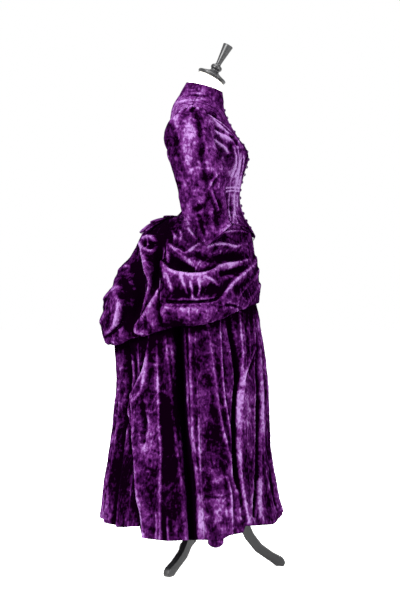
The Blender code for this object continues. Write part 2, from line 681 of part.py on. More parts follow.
def form_loops():
    """The form's outline from its flat base to its flat neck top, just inside the cloth."""
    angles = [360.0 * step / FORM_TURNS for step in range(FORM_TURNS)]
    for ring in reversed(FORM_HIPS):
        yield [on_ring(ring, degrees) for degrees in angles]
    inward = WALL + CLOTH_TO_FORM
    yield [on_ring(shrunk(BODICE[3], 2 * inward), degrees) for degrees in angles]
    for index in range(4, len(BODICE) - 1):
        row = index / BODICE_ROWS
        sunk = inward + 0.006 * math.exp(-(((index - 16.3) / 1.4) ** 2))
        yield [bodice_base(degrees, row) - outward(bodice_base, degrees, row) * sunk for degrees in angles]
    yield [on_ring(shrunk(BODICE[-1], 2 * inward), degrees) for degrees in angles]
    for ring in COLLAR[1:]:
        yield [on_ring(shrunk(ring, inward + 0.0005), degrees) for degrees in angles]
    forward, right = Vector((math.cos(NECK_LEAN), 0.0, -math.sin(NECK_LEAN))), Vector((0.0, -1.0, 0.0))
    turns = [math.radians(degrees) for degrees in angles]
    yield [NECK_TOP + NECK_RADIUS * (forward * math.cos(turn) + right * math.sin(turn)) for turn in turns]


def form_torso(linen):
    """A smooth limbless body with a leaning neck."""
    bm = bmesh.new()
    loops = [[bm.verts.new(spot) for spot in loop] for loop in form_loops()]
    for low, high in zip(loops, loops[1:]):
        for step in range(FORM_TURNS):
            after = (step + 1) % FORM_TURNS
            bm.faces.new((low[step], low[after], high[after], high[step]))
    bm.faces.new(loops[0])
    bm.faces.new(loops[-1])
    bmesh.ops.recalc_face_normals(bm, faces=bm.faces[:])
    bmesh.ops.triangulate(bm, faces=bm.faces[:])
    return mesh_object("form_torso", bm, linen)


def turned(name, profile, steps, material):
    """A piece turned about Z: the profile's (radius, height) points run from the top down."""
    mesh = bpy.data.meshes.new(name)
    points = [(0.0, 0.0, profile[0][1])]
    points += [(radius, 0.0, height) for radius, height in profile]
    points.append((0.0, 0.0, profile[-1][1]))
    edges = [(index, index + 1) for index in range(len(points) - 1)]
    mesh.from_pydata(points, edges, [])
    obj = place(bpy.data.objects.new(name, mesh), material)
    spin = obj.modifiers.new("turning", "SCREW")
    spin.steps = spin.render_steps = steps
    spin.use_merge_vertices = True
    spin.merge_threshold = 0.00005
    return obj


def neck_cap(lacquer):
    """The turned wooden cap and handle on the sloping top of the neck."""
    cap = turned("neck_cap", CAP_PROFILE, 18, lacquer)
    cap.rotation_euler = (0.0, NECK_LEAN, 0.0)
    normal = Vector((math.sin(NECK_LEAN), 0.0, math.cos(NECK_LEAN)))
    cap.location = NECK_TOP
    return cap


def leg(number, direction, lacquer):
    """A sabre leg, flat-sided, with a rounded toe that stands on a small flat."""
    upper, lower = [], []
    for index, (radius, height, width) in enumerate(LEG_LINE):
        before, after = LEG_LINE[max(index - 1, 0)], LEG_LINE[min(index + 1, len(LEG_LINE) - 1)]
        run = Vector((after[0] - before[0], after[1] - before[1])).normalized()
        side = Vector((-run.y, run.x)) * width / 2
        upper.append(Vector((radius, height)) + side)
        lower.append(Vector((radius, height)) - side)
    toe = LEG_LINE[-1]
    ends = [Vector((toe[0] + 0.0125, 0.0185)), Vector((toe[0] + 0.0155, 0.0090)), Vector((toe[0] + 0.0110, 0.0))]
    lower[-1] = Vector((toe[0] - 0.012, 0.0))
    outline = upper + ends + list(reversed(lower))
    outline = [Vector((max(corner.x, HUB_RADIUS + 0.0005), corner.y)) for corner in outline]
    curve = bpy.data.curves.new(f"leg_{number}", "CURVE")
    curve.dimensions = "2D"
    curve.fill_mode = "BOTH"
    curve.extrude = LEG_THICKNESS / 2
    spline = curve.splines.new("POLY")
    spline.points.add(len(outline) - 1)
    for point, corner in zip(spline.points, outline):
        point.co = (corner.x, corner.y, 0.0, 1.0)
    spline.use_cyclic_u = True
    obj = place(bpy.data.objects.new(f"leg_{number}", curve), lacquer)
    obj.rotation_euler = (math.radians(90), 0.0, math.radians(direction))
    return obj


def stand(lacquer, iron):
    """The pole under the torso, the hub that it stands in, and three legs let into the hub."""
    pole_low = HUB_HIGH + 0.0003
    bm = bmesh.new()
    bmesh.ops.create_cone(
        bm, cap_ends=True, segments=20, radius1=POLE_RADIUS, radius2=POLE_RADIUS,
        depth=TORSO_LOW - 0.0003 - pole_low,
    )
    pole = mesh_object("pole", bm, iron)
    pole.location.z = (pole_low + TORSO_LOW - 0.0003) / 2
    hub_profile = (
        (HUB_RADIUS - 0.004, HUB_HIGH), (HUB_RADIUS, HUB_HIGH - 0.004),
        (HUB_RADIUS, HUB_LOW + 0.014), (HUB_RADIUS - 0.006, HUB_LOW),
    )
    turned("hub", hub_profile, 20, lacquer)
    for number, direction in enumerate(LEG_DIRECTIONS, start=1):
        leg(number, direction, lacquer)


def build():
    clear_scene()
    collection = bpy.data.collections.new("bustle_dress")
    bpy.context.scene.collection.children.link(collection)
    axis = bpy.data.objects.new("pole_axis", None)
    axis.location.x = POLE_X
    collection.objects.link(axis)

    velvet = finish("velvet", (0.13, 0.012, 0.21), 0.6)
    linen = finish("linen", (0.80, 0.77, 0.70), 0.9)
    lacquer = finish("lacquer", (0.012, 0.012, 0.013), 0.25)
    iron = finish("iron", (0.03, 0.03, 0.03), 0.4, 0.6)
    button = finish("button", (0.09, 0.02, 0.12), 0.3)

    form_torso(linen)
    neck_cap(lacquer)
    stand(lacquer, iron)

    collar_band(velvet)
    for name, side in SIDES.items():
        bodice_panel(f"bodice_front_{name}", side, 0.0, FRONT_SEAM, ARMHOLE_FRONT, 10, velvet)
        bodice_panel(f"bodice_back_{name}", side, 180.0, BACK_SEAM, ARMHOLE_BACK, 8, velvet)
        side_panel(f"bodice_side_{name}", side, velvet)
        sleeve_panel(f"sleeve_top_{name}", side, SLEEVE_FRONT_SEAM, SLEEVE_BACK_SEAM, 12, velvet)
        sleeve_panel(f"sleeve_under_{name}", side, SLEEVE_BACK_SEAM, SLEEVE_FRONT_SEAM + 360.0, 8, velvet)
        cuff(f"cuff_{name}", side, velvet)
    buttons(button)
    basque_tail(velvet)
    front_drape(velvet)
    bustle_drape(velvet)
    underskirt(velvet)
    hem_fold(velvet)
    bpy.context.view_layer.update()


build()
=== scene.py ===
# %% [markdown]
# # A velvet bustle dress on a dress form
#
# The real thing is a dress of the 1880s in purple crushed velvet: a fitted bodice with a standing
# collar, a row of small buttons and three-quarter sleeves, an apron of swagged velvet drawn up to a
# puffed bustle, and a trained underskirt in deep pleats. It is shown on a padded form without limbs, on
# a black stand with three sabre legs.
#
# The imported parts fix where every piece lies. Each piece of cloth is made again here with its real
# folds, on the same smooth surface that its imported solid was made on.

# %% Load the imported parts
import math
from collections import namedtuple
from functools import partial
from itertools import product

import bpy
import numpy as np
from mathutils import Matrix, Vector


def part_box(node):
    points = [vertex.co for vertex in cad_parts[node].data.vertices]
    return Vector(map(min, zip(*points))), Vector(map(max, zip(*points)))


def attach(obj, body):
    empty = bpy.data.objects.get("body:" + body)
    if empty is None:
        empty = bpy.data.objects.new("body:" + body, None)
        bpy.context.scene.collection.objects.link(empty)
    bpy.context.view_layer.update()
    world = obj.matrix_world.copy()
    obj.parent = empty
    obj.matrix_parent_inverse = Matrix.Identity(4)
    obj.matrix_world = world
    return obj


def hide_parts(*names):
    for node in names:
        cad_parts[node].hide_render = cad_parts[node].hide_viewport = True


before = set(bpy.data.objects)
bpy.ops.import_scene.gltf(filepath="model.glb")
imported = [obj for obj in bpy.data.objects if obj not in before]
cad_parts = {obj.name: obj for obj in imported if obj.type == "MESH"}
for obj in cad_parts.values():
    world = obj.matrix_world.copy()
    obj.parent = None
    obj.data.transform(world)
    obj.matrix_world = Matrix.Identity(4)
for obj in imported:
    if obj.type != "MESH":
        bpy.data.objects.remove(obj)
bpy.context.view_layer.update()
pole_low, pole_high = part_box("pole")
POLE_X = (pole_low.x + pole_high.x) / 2
MM = 0.001


def in_scene(name, data):
    """Puts a mesh, a lamp or a camera into the scene as an object."""
    obj = bpy.data.objects.new(name, data)
    bpy.context.scene.collection.objects.link(obj)
    return obj


print("parts:", len(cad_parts), "pole at x =", round(POLE_X, 4))

# %% [markdown]
# The camera stands four metres away at the height of the hips and looks level at the wearer's right
# side. A long lens keeps the proportions of a studio picture. It comes first, because folds are placed
# by how they look from here.

# %% Camera
CAMERA_DISTANCE = 4.0
CAMERA_HEIGHT = 0.845
CAMERA_BEHIND_POLE = 0.0352

camera_lens = bpy.data.cameras.new("studio_camera")
camera_lens.lens = 75
camera_lens.sensor_width = 36
camera = in_scene("studio_camera", camera_lens)
camera.location = (POLE_X - CAMERA_BEHIND_POLE, -CAMERA_DISTANCE, CAMERA_HEIGHT)
camera.rotation_euler = (math.radians(90), 0, 0)
bpy.context.scene.camera = camera
print("camera at", [round(value, 3) for value in camera.location])

# %% [markdown]
# A body is round, so a dress is easiest to describe as a stack of rings: egg-shaped outlines round the
# body, each tilted a little, because a waist seam is lower in front than behind. A smooth curve through
# the rings gives a surface with two numbers: degrees round the body, 0 at the front and 90 on the
# wearer's right, and a share of the way along the rings. Working out whole grids at once with arrays
# keeps this quick.

# %% Rings and smooth curves through them
Ring = namedtuple("Ring", "z_front z_back x_front x_back x_mid half_width")


def table(kind, *rows):
    """A table whose rows have a name for each number."""
    return tuple(kind(*row) for row in rows)


def curve_between(before, here, there, after, share):
    """A point of a smooth curve, at a share of the way from here to there."""
    bend = 2 * before - 5 * here + 4 * there - after
    twist = 3 * here - before - 3 * there + after
    return here + 0.5 * share * ((there - before) + share * (bend + share * twist))


def smooth_rows(rows, place):
    """Rows of a table at places from 0, the first, to 1, the last, on a smooth curve."""
    rows = np.asarray(rows, float)
    last = len(rows) - 1
    where = np.clip(place, 0.0, 1.0) * last
    first = np.minimum(where.astype(int), last - 1)
    share = (where - first)[..., None]
    return curve_between(*(rows[np.clip(first + step, 0, last)] for step in (-1, 0, 1, 2)), share)


def on_rings(rings, degrees, row):
    """Points of a surface of rings."""
    z_front, z_back, x_front, x_back, x_mid, half_width = np.moveaxis(smooth_rows(rings, row), -1, 0)
    forward, right = np.cos(np.radians(degrees)), np.sin(np.radians(degrees))
    reach = np.where(forward > 0, x_front - x_mid, x_mid - x_back)
    x = x_mid + reach * forward
    rise = (x - x_back) / (x_front - x_back)
    return np.stack([x, -half_width * right, z_back + (z_front - z_back) * rise], -1)


def unit(vectors):
    return vectors / np.maximum(np.linalg.norm(vectors, axis=-1, keepdims=True), 1e-9)


def facing(surface, degrees, row, step=0.004):
    """The direction that faces away from the body at each place of a surface."""
    across = surface(degrees + 1.0, row) - surface(degrees - 1.0, row)
    up = surface(degrees, np.minimum(row + step, 1.0)) - surface(degrees, np.maximum(row - step, 0.0))
    normal = unit(np.cross(across, up))
    away = surface(degrees, row) - surface(degrees + 180.0, row)
    return normal * np.where((normal * away).sum(-1, keepdims=True) < 0, -1.0, 1.0)


def bell(value, centre, width):
    return np.exp(-(((value - centre) / width) ** 2))


def from_front(degrees):
    """Degrees from the front, the same on both sides."""
    return np.abs((degrees + 180.0) % 360.0 - 180.0)


print("numbers of a ring:", ", ".join(Ring._fields))

# %% [markdown]
# Cloth hung on a body makes three kinds of shape: folds that run along a line, a slow waviness, and the
# small creases that were pressed into crushed velvet when it was made. A fold here is a line of
# (forward, height, lift) in millimetres, seen from the side as the camera sees it, with its own width
# on the left and the right of the line: one narrow side makes the sharp lip of a fold that hangs over a
# pocket. Both sides of the body share the folds, and the left side is bent a little, so that the two do
# not look stamped.

# %% Folds, waves and creases
Fold = namedtuple("Fold", "left right power path")
FOLD_REACH = 2.6  # widths from its line, past which a fold lifts nothing
LEFT_SIDE = 0.05  # metres over which the left side's own bends set in


def folds(*rows):
    """A table of folds: each row has the widths on the left and the right, then the power, which makes the
    top sharper when low and flatter when high, and then the points of the line."""
    return tuple(Fold(*row[:3], row[3:]) for row in rows)


def side_view(points):
    """Forward and height in millimetres, as seen from the side, of points on either side of the body."""
    nearer = CAMERA_DISTANCE / (CAMERA_DISTANCE - np.abs(points[..., 1]))
    forward = (points[..., 0] + CAMERA_BEHIND_POLE) * nearer - CAMERA_BEHIND_POLE
    height = CAMERA_HEIGHT + (points[..., 2] - CAMERA_HEIGHT) * nearer
    left_side = np.clip(points[..., 1] / LEFT_SIDE, 0.0, 1.0)
    forward = forward + left_side * 0.009 * np.sin(height * 13.0 + 1.0)
    height = height + left_side * 0.008 * np.sin(points[..., 0] * 17.0)
    return np.stack([forward, height], -1) / MM


def folded(view, lines):
    """How far folds lift the cloth, in metres, at places seen in their own view."""
    lift = np.zeros(view.shape[:-1])
    for fold in lines:
        path = smooth_rows(fold.path, np.linspace(0, 1, 8 * len(fold.path) - 7))
        reach = FOLD_REACH * max(fold.left, fold.right)
        low, high = path[:, :2].min(0) - reach, path[:, :2].max(0) + reach
        near = np.all((view > low) & (view < high), axis=-1)
        spots = view[near]
        nearest = np.full(len(spots), np.inf)
        raised = np.zeros(len(spots))
        for start, end in zip(path, path[1:]):
            run = (end - start)[:2]
            share = np.clip(((spots - start[:2]) @ run) / (run @ run), 0.0, 1.0)
            off = spots - start[:2] - share[:, None] * run
            distance = np.hypot(off[:, 0], off[:, 1])
            sideways = (run[0] * off[:, 1] - run[1] * off[:, 0]) / (np.hypot(*run) * distance + 1e-9)
            width = fold.right + (fold.left - fold.right) * (0.5 + 0.5 * sideways)
            height = start[2] + share * (end[2] - start[2])
            closer = distance < nearest
            raised = np.where(closer, height * np.exp(-((distance / width) ** fold.power)), raised)
            nearest = np.minimum(nearest, distance)
        lift[near] += raised * MM
    return lift


LATTICE = np.random.default_rng(1885).uniform(-1, 1, (32, 32, 32))
TILT = np.linalg.qr(np.random.default_rng(7).normal(size=(3, 3)))[0]


def lumps(points, size):
    """A smooth random height from -1 to 1, with lumps about size apart."""
    spot = points @ TILT / size + 100 * size
    cell = np.floor(spot).astype(int)
    share = spot - cell
    share = share * share * (3 - 2 * share)
    total = 0.0
    for corner in product((0, 1), repeat=3):
        weight = np.prod(np.where(corner, share, 1 - share), axis=-1)
        total = total + weight * LATTICE[tuple(((cell + corner) % 32)[..., axis] for axis in range(3))]
    return total


def pinched(points, size):
    """Sharp creases about size apart: 1 on a crease, falling to 0 between."""
    return np.clip(1.0 - np.abs(lumps(points, size)) * 3.0, 0.0, 1.0) ** 1.5


def crushed(points, amount=1.0):
    """The waves and creases of crushed velvet, in metres."""
    height = 1.6 * lumps(points, 0.070) + 0.9 * lumps(points, 0.028)
    creases = 0.9 * pinched(points, 0.036) - 0.7 * pinched(points + 3.0, 0.026)
    height += creases + 0.5 * pinched(points, 0.014)
    return amount * height * MM


print("random heights for the lumps:", LATTICE.size)

# %% [markdown]
# Much of the velvet's light and shade is painted into its colour. The largest patches are listed here,
# seen from the side: painted highlights above 0, and painted shade below 0, in pockets and gaps of the
# folds. Their places are in millimetres. Because they are seen from the side, they fade towards the
# middle of the front and of the back, where they would be drawn out into bands.

# %% Painted light and shade
PaintedPatch = namedtuple("PaintedPatch", "x z width height light")
PAINTED_LIGHT_PATCHES = table(
    PaintedPatch,
    (-78, 1402, 38, 44, 0.60), (-116, 1424, 26, 18, 0.42), (-76, 1290, 26, 90, 0.45),
    (-121, 1342, 17, 42, -0.20), (-30, 1330, 14, 120, 0.32), (-34, 1175, 28, 60, 0.40),
    (-92, 1493, 30, 16, 0.25), (-27, 1482, 60, 45, 0.55), (28, 1388, 40, 44, 0.42),
    (68, 1286, 12, 55, 0.45), (11, 1276, 24, 18, -0.30), (86, 1230, 24, 70, 0.55),
    (11, 1180, 25, 40, -0.25), (40, 1068, 70, 24, 0.10), (-158, 1084, 50, 26, -0.50),
    (-292, 825, 12, 50, -0.45), (-314, 865, 13, 55, 0.35), (-277, 880, 16, 70, -0.45),
    (-174, 976, 20, 62, -1.00), (-190, 886, 12, 40, -0.60), (-156, 1030, 19, 28, -0.90),
    (-83, 995, 40, 13, -0.35), (-95, 900, 50, 32, 0.60), (2, 985, 30, 13, -0.30),
    (-121, 812, 30, 13, 0.30), (20, 816, 60, 12, 0.15), (100, 870, 30, 40, -0.15),
    (-99, 610, 22, 150, -0.80), (-78, 280, 17, 170, -0.70), (-300, 290, 46, 120, -0.90),
    (-290, 530, 22, 90, -0.50), (-210, 421, 22, 150, 0.30), (-191, 160, 30, 50, 0.20),
    (-138, 420, 28, 240, -0.55), (11, 165, 70, 50, 0.45), (8, 243, 60, 12, -0.45),
    (68, 430, 9, 130, -0.50), (130, 440, 24, 110, 0.15), (184, 300, 18, 150, -0.35),
    (67, 676, 30, 60, -0.35), (98, 1300, 13, 42, 0.40), (86, 1240, 15, 35, 0.40),
    (78, 1155, 28, 60, 0.70), (80, 1112, 17, 30, 0.45), (0, 1417, 22, 12, 0.40),
    (54, 1375, 22, 14, 0.45), (30, 1310, 14, 20, -0.50), (0, 1234, 20, 30, -0.25),
    (0, 1115, 26, 30, -0.30), (-30, 905, 42, 20, 0.45), (-203, 948, 20, 55, -0.45),
    (-108, 440, 28, 260, -0.60), (-264, 830, 18, 70, -1.00), (-242, 925, 14, 50, -0.80),
    (-214, 842, 26, 50, -0.55), (-35, 1500, 50, 5, -0.60), (-85, 1478, 35, 12, 0.40),
    (-60, 1457, 14, 8, -0.25), (112, 1058, 14, 6, -0.50), (98, 497, 10, 80, -0.45),
    (-54, 540, 13, 130, -0.65), (-50, 270, 13, 130, -0.65), (160, 400, 8, 160, -0.30),
    (0, 1365, 20, 70, 0.25), (-92, 1280, 34, 60, 0.18), (-88, 1180, 24, 55, -0.22),
    (-170, 800, 22, 60, 0.25), (-262, 400, 30, 200, -0.15), (10, 550, 50, 150, -0.16),
    (-10, 990, 120, 60, 0.08),
)
PAINTED_PATCH_FADE = 0.06  # metres from the middle, within which the painted patches fade
PAINTED_PATCH_LEAST = 0.4  # the share of them that is left at the middle


def painted_patch_light(points):
    """Painted light and shade at points, from the listed patches: painted highlight above 0, painted shade
    below.
    """
    view = side_view(points)
    light = np.zeros(view.shape[:-1])
    for stroke in PAINTED_LIGHT_PATCHES:
        across = (view[..., 0] - stroke.x) / stroke.width
        up = (view[..., 1] - stroke.z) / stroke.height
        light += stroke.light * np.exp(-(across ** 2 + up ** 2))
    return light * np.clip(np.abs(points[..., 1]) / PAINTED_PATCH_FADE, PAINTED_PATCH_LEAST, 1)


# The listed patches are painted light and shade.
print("strokes of the pile:", len(PAINTED_LIGHT_PATCHES))

# %% [markdown]
# Every piece of cloth becomes one closed wall of velvet. The outer face is a fine grid, and the face
# towards the body is the same grid at half the fineness, because nobody sees it. Where a fold stands
# above the cloth around it, its colour is lightened as a painted highlight; in a pocket it is darkened
# as painted shade. That difference is kept on every point for the velvet's colour, from -1 to 1: one
# value for whole folds, and one, mostly painted highlight, for the sharp lines on them.

# %% Walls of cloth
WALL = 2.2 * MM


def softened(field, reach):
    """A field of a grid, averaged over reach steps each way, twice."""
    for axis in (0, 1, 0, 1):
        size = field.shape[axis]
        span = max(1, min(reach, size - 1))
        widths = [(span + 1, span) if direction == axis else (0, 0) for direction in range(field.ndim)]
        total = np.cumsum(np.pad(field, widths, mode="edge"), axis=axis)
        ends = np.take(total, range(2 * span + 1, 2 * span + 1 + size), axis=axis)
        field = (ends - np.take(total, range(size), axis=axis)) / (2 * span + 1)
    return field


def grid_faces(index, closed):
    """Quads of a grid of point numbers, whose columns meet if it is closed."""
    across = np.roll(index, -1, axis=1) if closed else index[:, 1:]
    here = index if closed else index[:, :-1]
    return np.stack([here[:-1], across[:-1], across[1:], here[1:]], -1).reshape(-1, 4)


def rim_faces(outer, inner):
    """Five-sided faces between a fine outer edge and an inner edge of half its points."""
    return np.stack([outer[:-2:2], outer[1::2], outer[2::2], inner[1:], inner[:-1]], -1)


def cloth_lengths(grid):
    """Distances along the cloth, across and up, for its UV map."""
    across = np.linalg.norm(np.diff(grid, axis=1), axis=-1)
    up = np.linalg.norm(np.diff(grid, axis=0), axis=-1)
    across = np.pad(np.cumsum(across, axis=1), ((0, 0), (1, 0)))
    up = np.pad(np.cumsum(up, axis=0), ((1, 0), (0, 0)))
    return np.stack([across, up], -1)


def wall_of_cloth(name, outer, away, pile_and_painted_light, material, thickness=WALL, closed=False):
    """A closed mesh: the outer grid, an inner face behind it and rims. Its third argument holds the painted
    shade and light of its folds and the painted highlights on their edges.
    """
    if closed:
        across = np.roll(outer, -1, axis=1) - np.roll(outer, 1, axis=1)
    else:
        across = np.gradient(outer, axis=1)
    normal = unit(np.cross(across, np.gradient(outer, axis=0)))
    turned = (normal * away).sum(-1).mean() < 0
    normal = -normal if turned else normal
    inner = (outer - thickness * normal)[::2, ::2]
    rows, columns = outer.shape[:2]
    front = np.arange(rows * columns).reshape(rows, columns)
    back = rows * columns + np.arange(inner.shape[0] * inner.shape[1]).reshape(inner.shape[:2])
    quads = np.concatenate([grid_faces(front, closed), grid_faces(back, closed)[:, ::-1]])
    if closed:
        front = np.concatenate([front, front[:, :1]], axis=1)
        back = np.concatenate([back, back[:, :1]], axis=1)
    rims = [rim_faces(front[0], back[0])[:, ::-1], rim_faces(front[-1], back[-1])]
    if not closed:
        rims += [rim_faces(front[:, 0], back[:, 0]), rim_faces(front[:, -1], back[:, -1])[:, ::-1]]
    rims = np.concatenate(rims)
    if turned:
        quads, rims = quads[:, ::-1], rims[:, ::-1]
    points = np.concatenate([outer.reshape(-1, 3), inner.reshape(-1, 3)])
    points = points + np.array([POLE_X, 0.0, 0.0])
    name = f"{name}_velvet"
    mesh = bpy.data.meshes.new(name)
    mesh.from_pydata(points.tolist(), [], quads.tolist() + rims.tolist())
    mesh.shade_smooth()
    flat = np.zeros(len(mesh.polygons), bool)
    flat[len(quads):] = True
    mesh.attributes.new("sharp_face", "BOOLEAN", "FACE").data.foreach_set("value", flat)
    # Painted light and shade: of whole folds, with the listed painted patches added, and painted highlights
    # on the fold edges.
    painted_fold_shade_and_light, edge = pile_and_painted_light
    for attribute, values in (("painted_fold_shade_and_light", painted_fold_shade_and_light + painted_patch_light(outer)), ("edge", edge)):
        values = np.concatenate([values.ravel(), values[::2, ::2].ravel() * 0])
        mesh.attributes.new(attribute, "FLOAT", "POINT").data.foreach_set("value", values)
    lengths = cloth_lengths(outer)
    lengths = np.concatenate([lengths.reshape(-1, 2), lengths[::2, ::2].reshape(-1, 2)])
    corners = np.zeros(len(mesh.loops), int)
    mesh.loops.foreach_get("vertex_index", corners)
    mesh.uv_layers.new(name="cloth").data.foreach_set("uv", lengths[corners].ravel())
    mesh.materials.append(material)
    return in_scene(name, mesh)


def painted_fold_light_of(lift, reach, height=4 * MM):
    """Painted light from how far a lift stands above the cloth around it: painted shade in a pocket and a
    weaker painted highlight on a whole fold, and a painted highlight on its edge alone.
    """
    broad = (lift - softened(lift, reach)) / height
    narrow = (lift - softened(lift, 2)) / (0.22 * height)
    return np.clip(np.where(broad > 0, 0.3 * broad, broad), -1.0, 0.3), np.clip(narrow, -0.3, 1.0)


def area_of(obj):
    """The cloth's own area in square metres: half of its closed surface."""
    return sum(face.area for face in obj.data.polygons) / 2


def worn(obj, part, flat, held, rests_on, **facts):
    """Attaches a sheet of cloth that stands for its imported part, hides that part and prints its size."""
    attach(obj, "root")
    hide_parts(part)
    size = f"{area_of(obj):.4f} m2, {flat[0] * flat[1]:.4f} flat"
    print(f"{obj.name}: {len(obj.data.polygons)} faces, {size}")


print("the cloth is", WALL / MM, "mm thick")

# %% [markdown]
# Crushed velvet is a silk or cotton pile, two or three millimetres deep, pressed flat in many
# directions. The pile is dark where one looks into it and pale lilac where it lies over and shows its
# side. So its colour runs from a nearly black violet through the dyed violet and a lighter one to a
# lilac bloom. Noise at the sizes of the crushing chooses the place along that run at random. Painted
# light chooses it too: painted shade in the pockets of folds, painted highlights on their crests and
# sharp edges, and the listed patches of painted light and shade. Gloss is off and sheen nearly off,
# because in an even bright light they would turn the dark pockets grey.

# %% Nodes and colours
def colour(code):
    """An sRGB hex colour as the linear colour that a shader needs."""
    values = [int(code[place:place + 2], 16) / 255 for place in (1, 3, 5)]
    linear = [value / 12.92 if value <= 0.04045 else ((value + 0.055) / 1.055) ** 2.4
              for value in values]
    return (*linear, 1.0)


def feed(node, **inputs):
    """Feeds inputs of a node, by name or as _ and a number, with values or with other nodes' sockets."""
    for name, value in inputs.items():
        socket = node.inputs[int(name[1:]) if name[0] == "_" else name.replace("_", " ")]
        if isinstance(value, bpy.types.NodeSocket):
            node.id_data.links.new(value, socket)
        else:
            socket.default_value = value


def add(tree, kind, settings=(), **inputs):
    """Adds a node. Settings are its own properties, inputs are what feeds it."""
    node = tree.nodes.new(kind)
    for name, value in dict(settings).items():
        setattr(node, name, value)
    feed(node, **inputs)
    return node


def new_material(name):
    """A material with its nodes, its shader and the places of the object's own points."""
    material = bpy.data.materials.new(name)
    material.use_nodes = True
    tree = material.node_tree
    spot = add(tree, "ShaderNodeTexCoord").outputs["Object"]
    return material, tree, tree.nodes["Principled BSDF"], spot


def noise_at(tree, spot, scale, detail, **inputs):
    """Cloudy noise from 0 to 1."""
    return add(tree, "ShaderNodeTexNoise", Vector=spot, Scale=scale, Detail=detail, **inputs).outputs["Fac"]


def ramp(tree, factor, stops):
    """A colour ramp of (place, hex colour) stops."""
    node = add(tree, "ShaderNodeValToRGB", Fac=factor)
    elements = node.color_ramp.elements
    elements[0].position, elements[0].color = stops[0][0], colour(stops[0][1])
    elements[1].position, elements[1].color = stops[-1][0], colour(stops[-1][1])
    for place, code in stops[1:-1]:
        elements.new(place).color = colour(code)
    return node.outputs["Color"]


def spread(tree, value, low, high):
    """A value from 0 to 1, spread between two others."""
    return add(tree, "ShaderNodeMapRange", Value=value, To_Min=low, To_Max=high).outputs["Result"]


print("mid grey is", round(colour("#808080")[0], 3), "in linear light")

# %% Crushed velvet
# Each crushing has its size in metres, how far it is warped, and its weight in the colour.
CRUSHINGS = ((0.080, 0.8, 1.1), (0.022, 0.8, 0.8), (0.007, 0.4, 0.8))
# Weights of the painted shade and light of whole folds and of the painted highlights on their edges.
PAINTED_FOLD_LIGHT_WEIGHT, PAINTED_EDGE_HIGHLIGHT_WEIGHT = 0.50, 0.30
# Where the cloth lies flat, this far up the run of colours.
FLAT_PILE = 0.36
# Nearly black violet, the dyed violet, a lighter violet and lilac, chosen by the random crushing and also by
# painted shade in the pockets and painted highlights on the folds.
PILE_AND_PAINTED_LIGHT_COLOURS = ((0.14, "#030003"), (0.42, "#1f0424"), (0.66, "#3d1744"), (0.97, "#664b72"))
PRESSED = 1.5 * MM

velvet, tree, shader, spot = new_material("crushed_velvet")
spot = add(tree, "ShaderNodeMapping", Vector=spot, Location=(-POLE_X, 0, -0.8),
           Scale=(1.0, 1.0, 0.7)).outputs["Vector"]
noises = [noise_at(tree, spot, 1 / size, 2, Distortion=warp) for size, warp, _ in CRUSHINGS]
weights = [weight for *_, weight in CRUSHINGS]
# The painted shade and light of the folds and the painted highlights on their edges, read from the points.
painted_fold_shade_and_light, edge = (add(tree, "ShaderNodeAttribute", {"attribute_name": name}).outputs["Fac"]
               for name in ("painted_fold_shade_and_light", "edge"))
# The place along the run of colours: random crushing plus painted light and shade.
pile_and_painted_light = FLAT_PILE - 0.5 * sum(weights)
for value, weight in zip((*noises, painted_fold_shade_and_light, edge), (*weights, PAINTED_FOLD_LIGHT_WEIGHT, PAINTED_EDGE_HIGHLIGHT_WEIGHT)):
    pile_and_painted_light = add(tree, "ShaderNodeMath", {"operation": "MULTIPLY_ADD"},
               _0=value, _1=weight, _2=pile_and_painted_light).outputs[0]
height = add(tree, "ShaderNodeMath", {"operation": "MULTIPLY_ADD"}, _0=noises[1], _1=2.4, _2=noises[2])
bump = add(tree, "ShaderNodeBump", Height=height.outputs[0], Strength=0.8, Distance=PRESSED)
feed(shader, Base_Color=ramp(tree, pile_and_painted_light, PILE_AND_PAINTED_LIGHT_COLOURS), Normal=bump.outputs["Normal"], Roughness=0.6,
     Specular_IOR_Level=0.0, Sheen_Weight=0.01, Sheen_Roughness=0.3, Sheen_Tint=colour("#9a50c8"))
print("velvet nodes:", len(tree.nodes))

# %% [markdown]
# The bodice is cut in six pieces: two fronts, two sides under the arms and two backs. All lie on one
# surface from the pointed lower edge to the neck, so each piece is only a range of degrees on it, and
# the armhole is an oval cut out of it. The velvet is pulled from the shoulder to the bust, which makes
# long soft pleats there.

# %% The bodice's surface
BODICE = table(
    Ring,
    (1.035, 1.080, 0.1360, -0.160, -0.010, 0.176), (1.060, 1.097, 0.1320, -0.134, -0.005, 0.165),
    (1.085, 1.110, 0.1200, -0.112, 0.000, 0.152), (1.108, 1.125, 0.1075, -0.097, 0.002, 0.139),
    (1.133, 1.140, 0.0990, -0.087, 0.003, 0.125), (1.156, 1.158, 0.0934, -0.082, 0.003, 0.117),
    (1.182, 1.182, 0.0920, -0.083, 0.003, 0.115), (1.211, 1.211, 0.0950, -0.090, 0.002, 0.120),
    (1.236, 1.236, 0.1030, -0.097, 0.000, 0.129), (1.268, 1.268, 0.1120, -0.108, -0.005, 0.141),
    (1.291, 1.291, 0.1180, -0.116, -0.008, 0.149), (1.313, 1.314, 0.1160, -0.121, -0.010, 0.156),
    (1.334, 1.336, 0.1075, -0.125, -0.014, 0.161), (1.354, 1.358, 0.0910, -0.128, -0.020, 0.165),
    (1.376, 1.384, 0.0780, -0.130, -0.028, 0.167), (1.402, 1.414, 0.0620, -0.131, -0.036, 0.166),
    (1.421, 1.439, 0.0530, -0.129, -0.042, 0.152), (1.436, 1.460, 0.0470, -0.124, -0.044, 0.124),
    (1.452, 1.478, 0.0420, -0.1165, -0.040, 0.090), (1.470, 1.498, 0.0400, -0.104, -0.032, 0.064),
)
BODICE_STEPS = len(BODICE) - 1
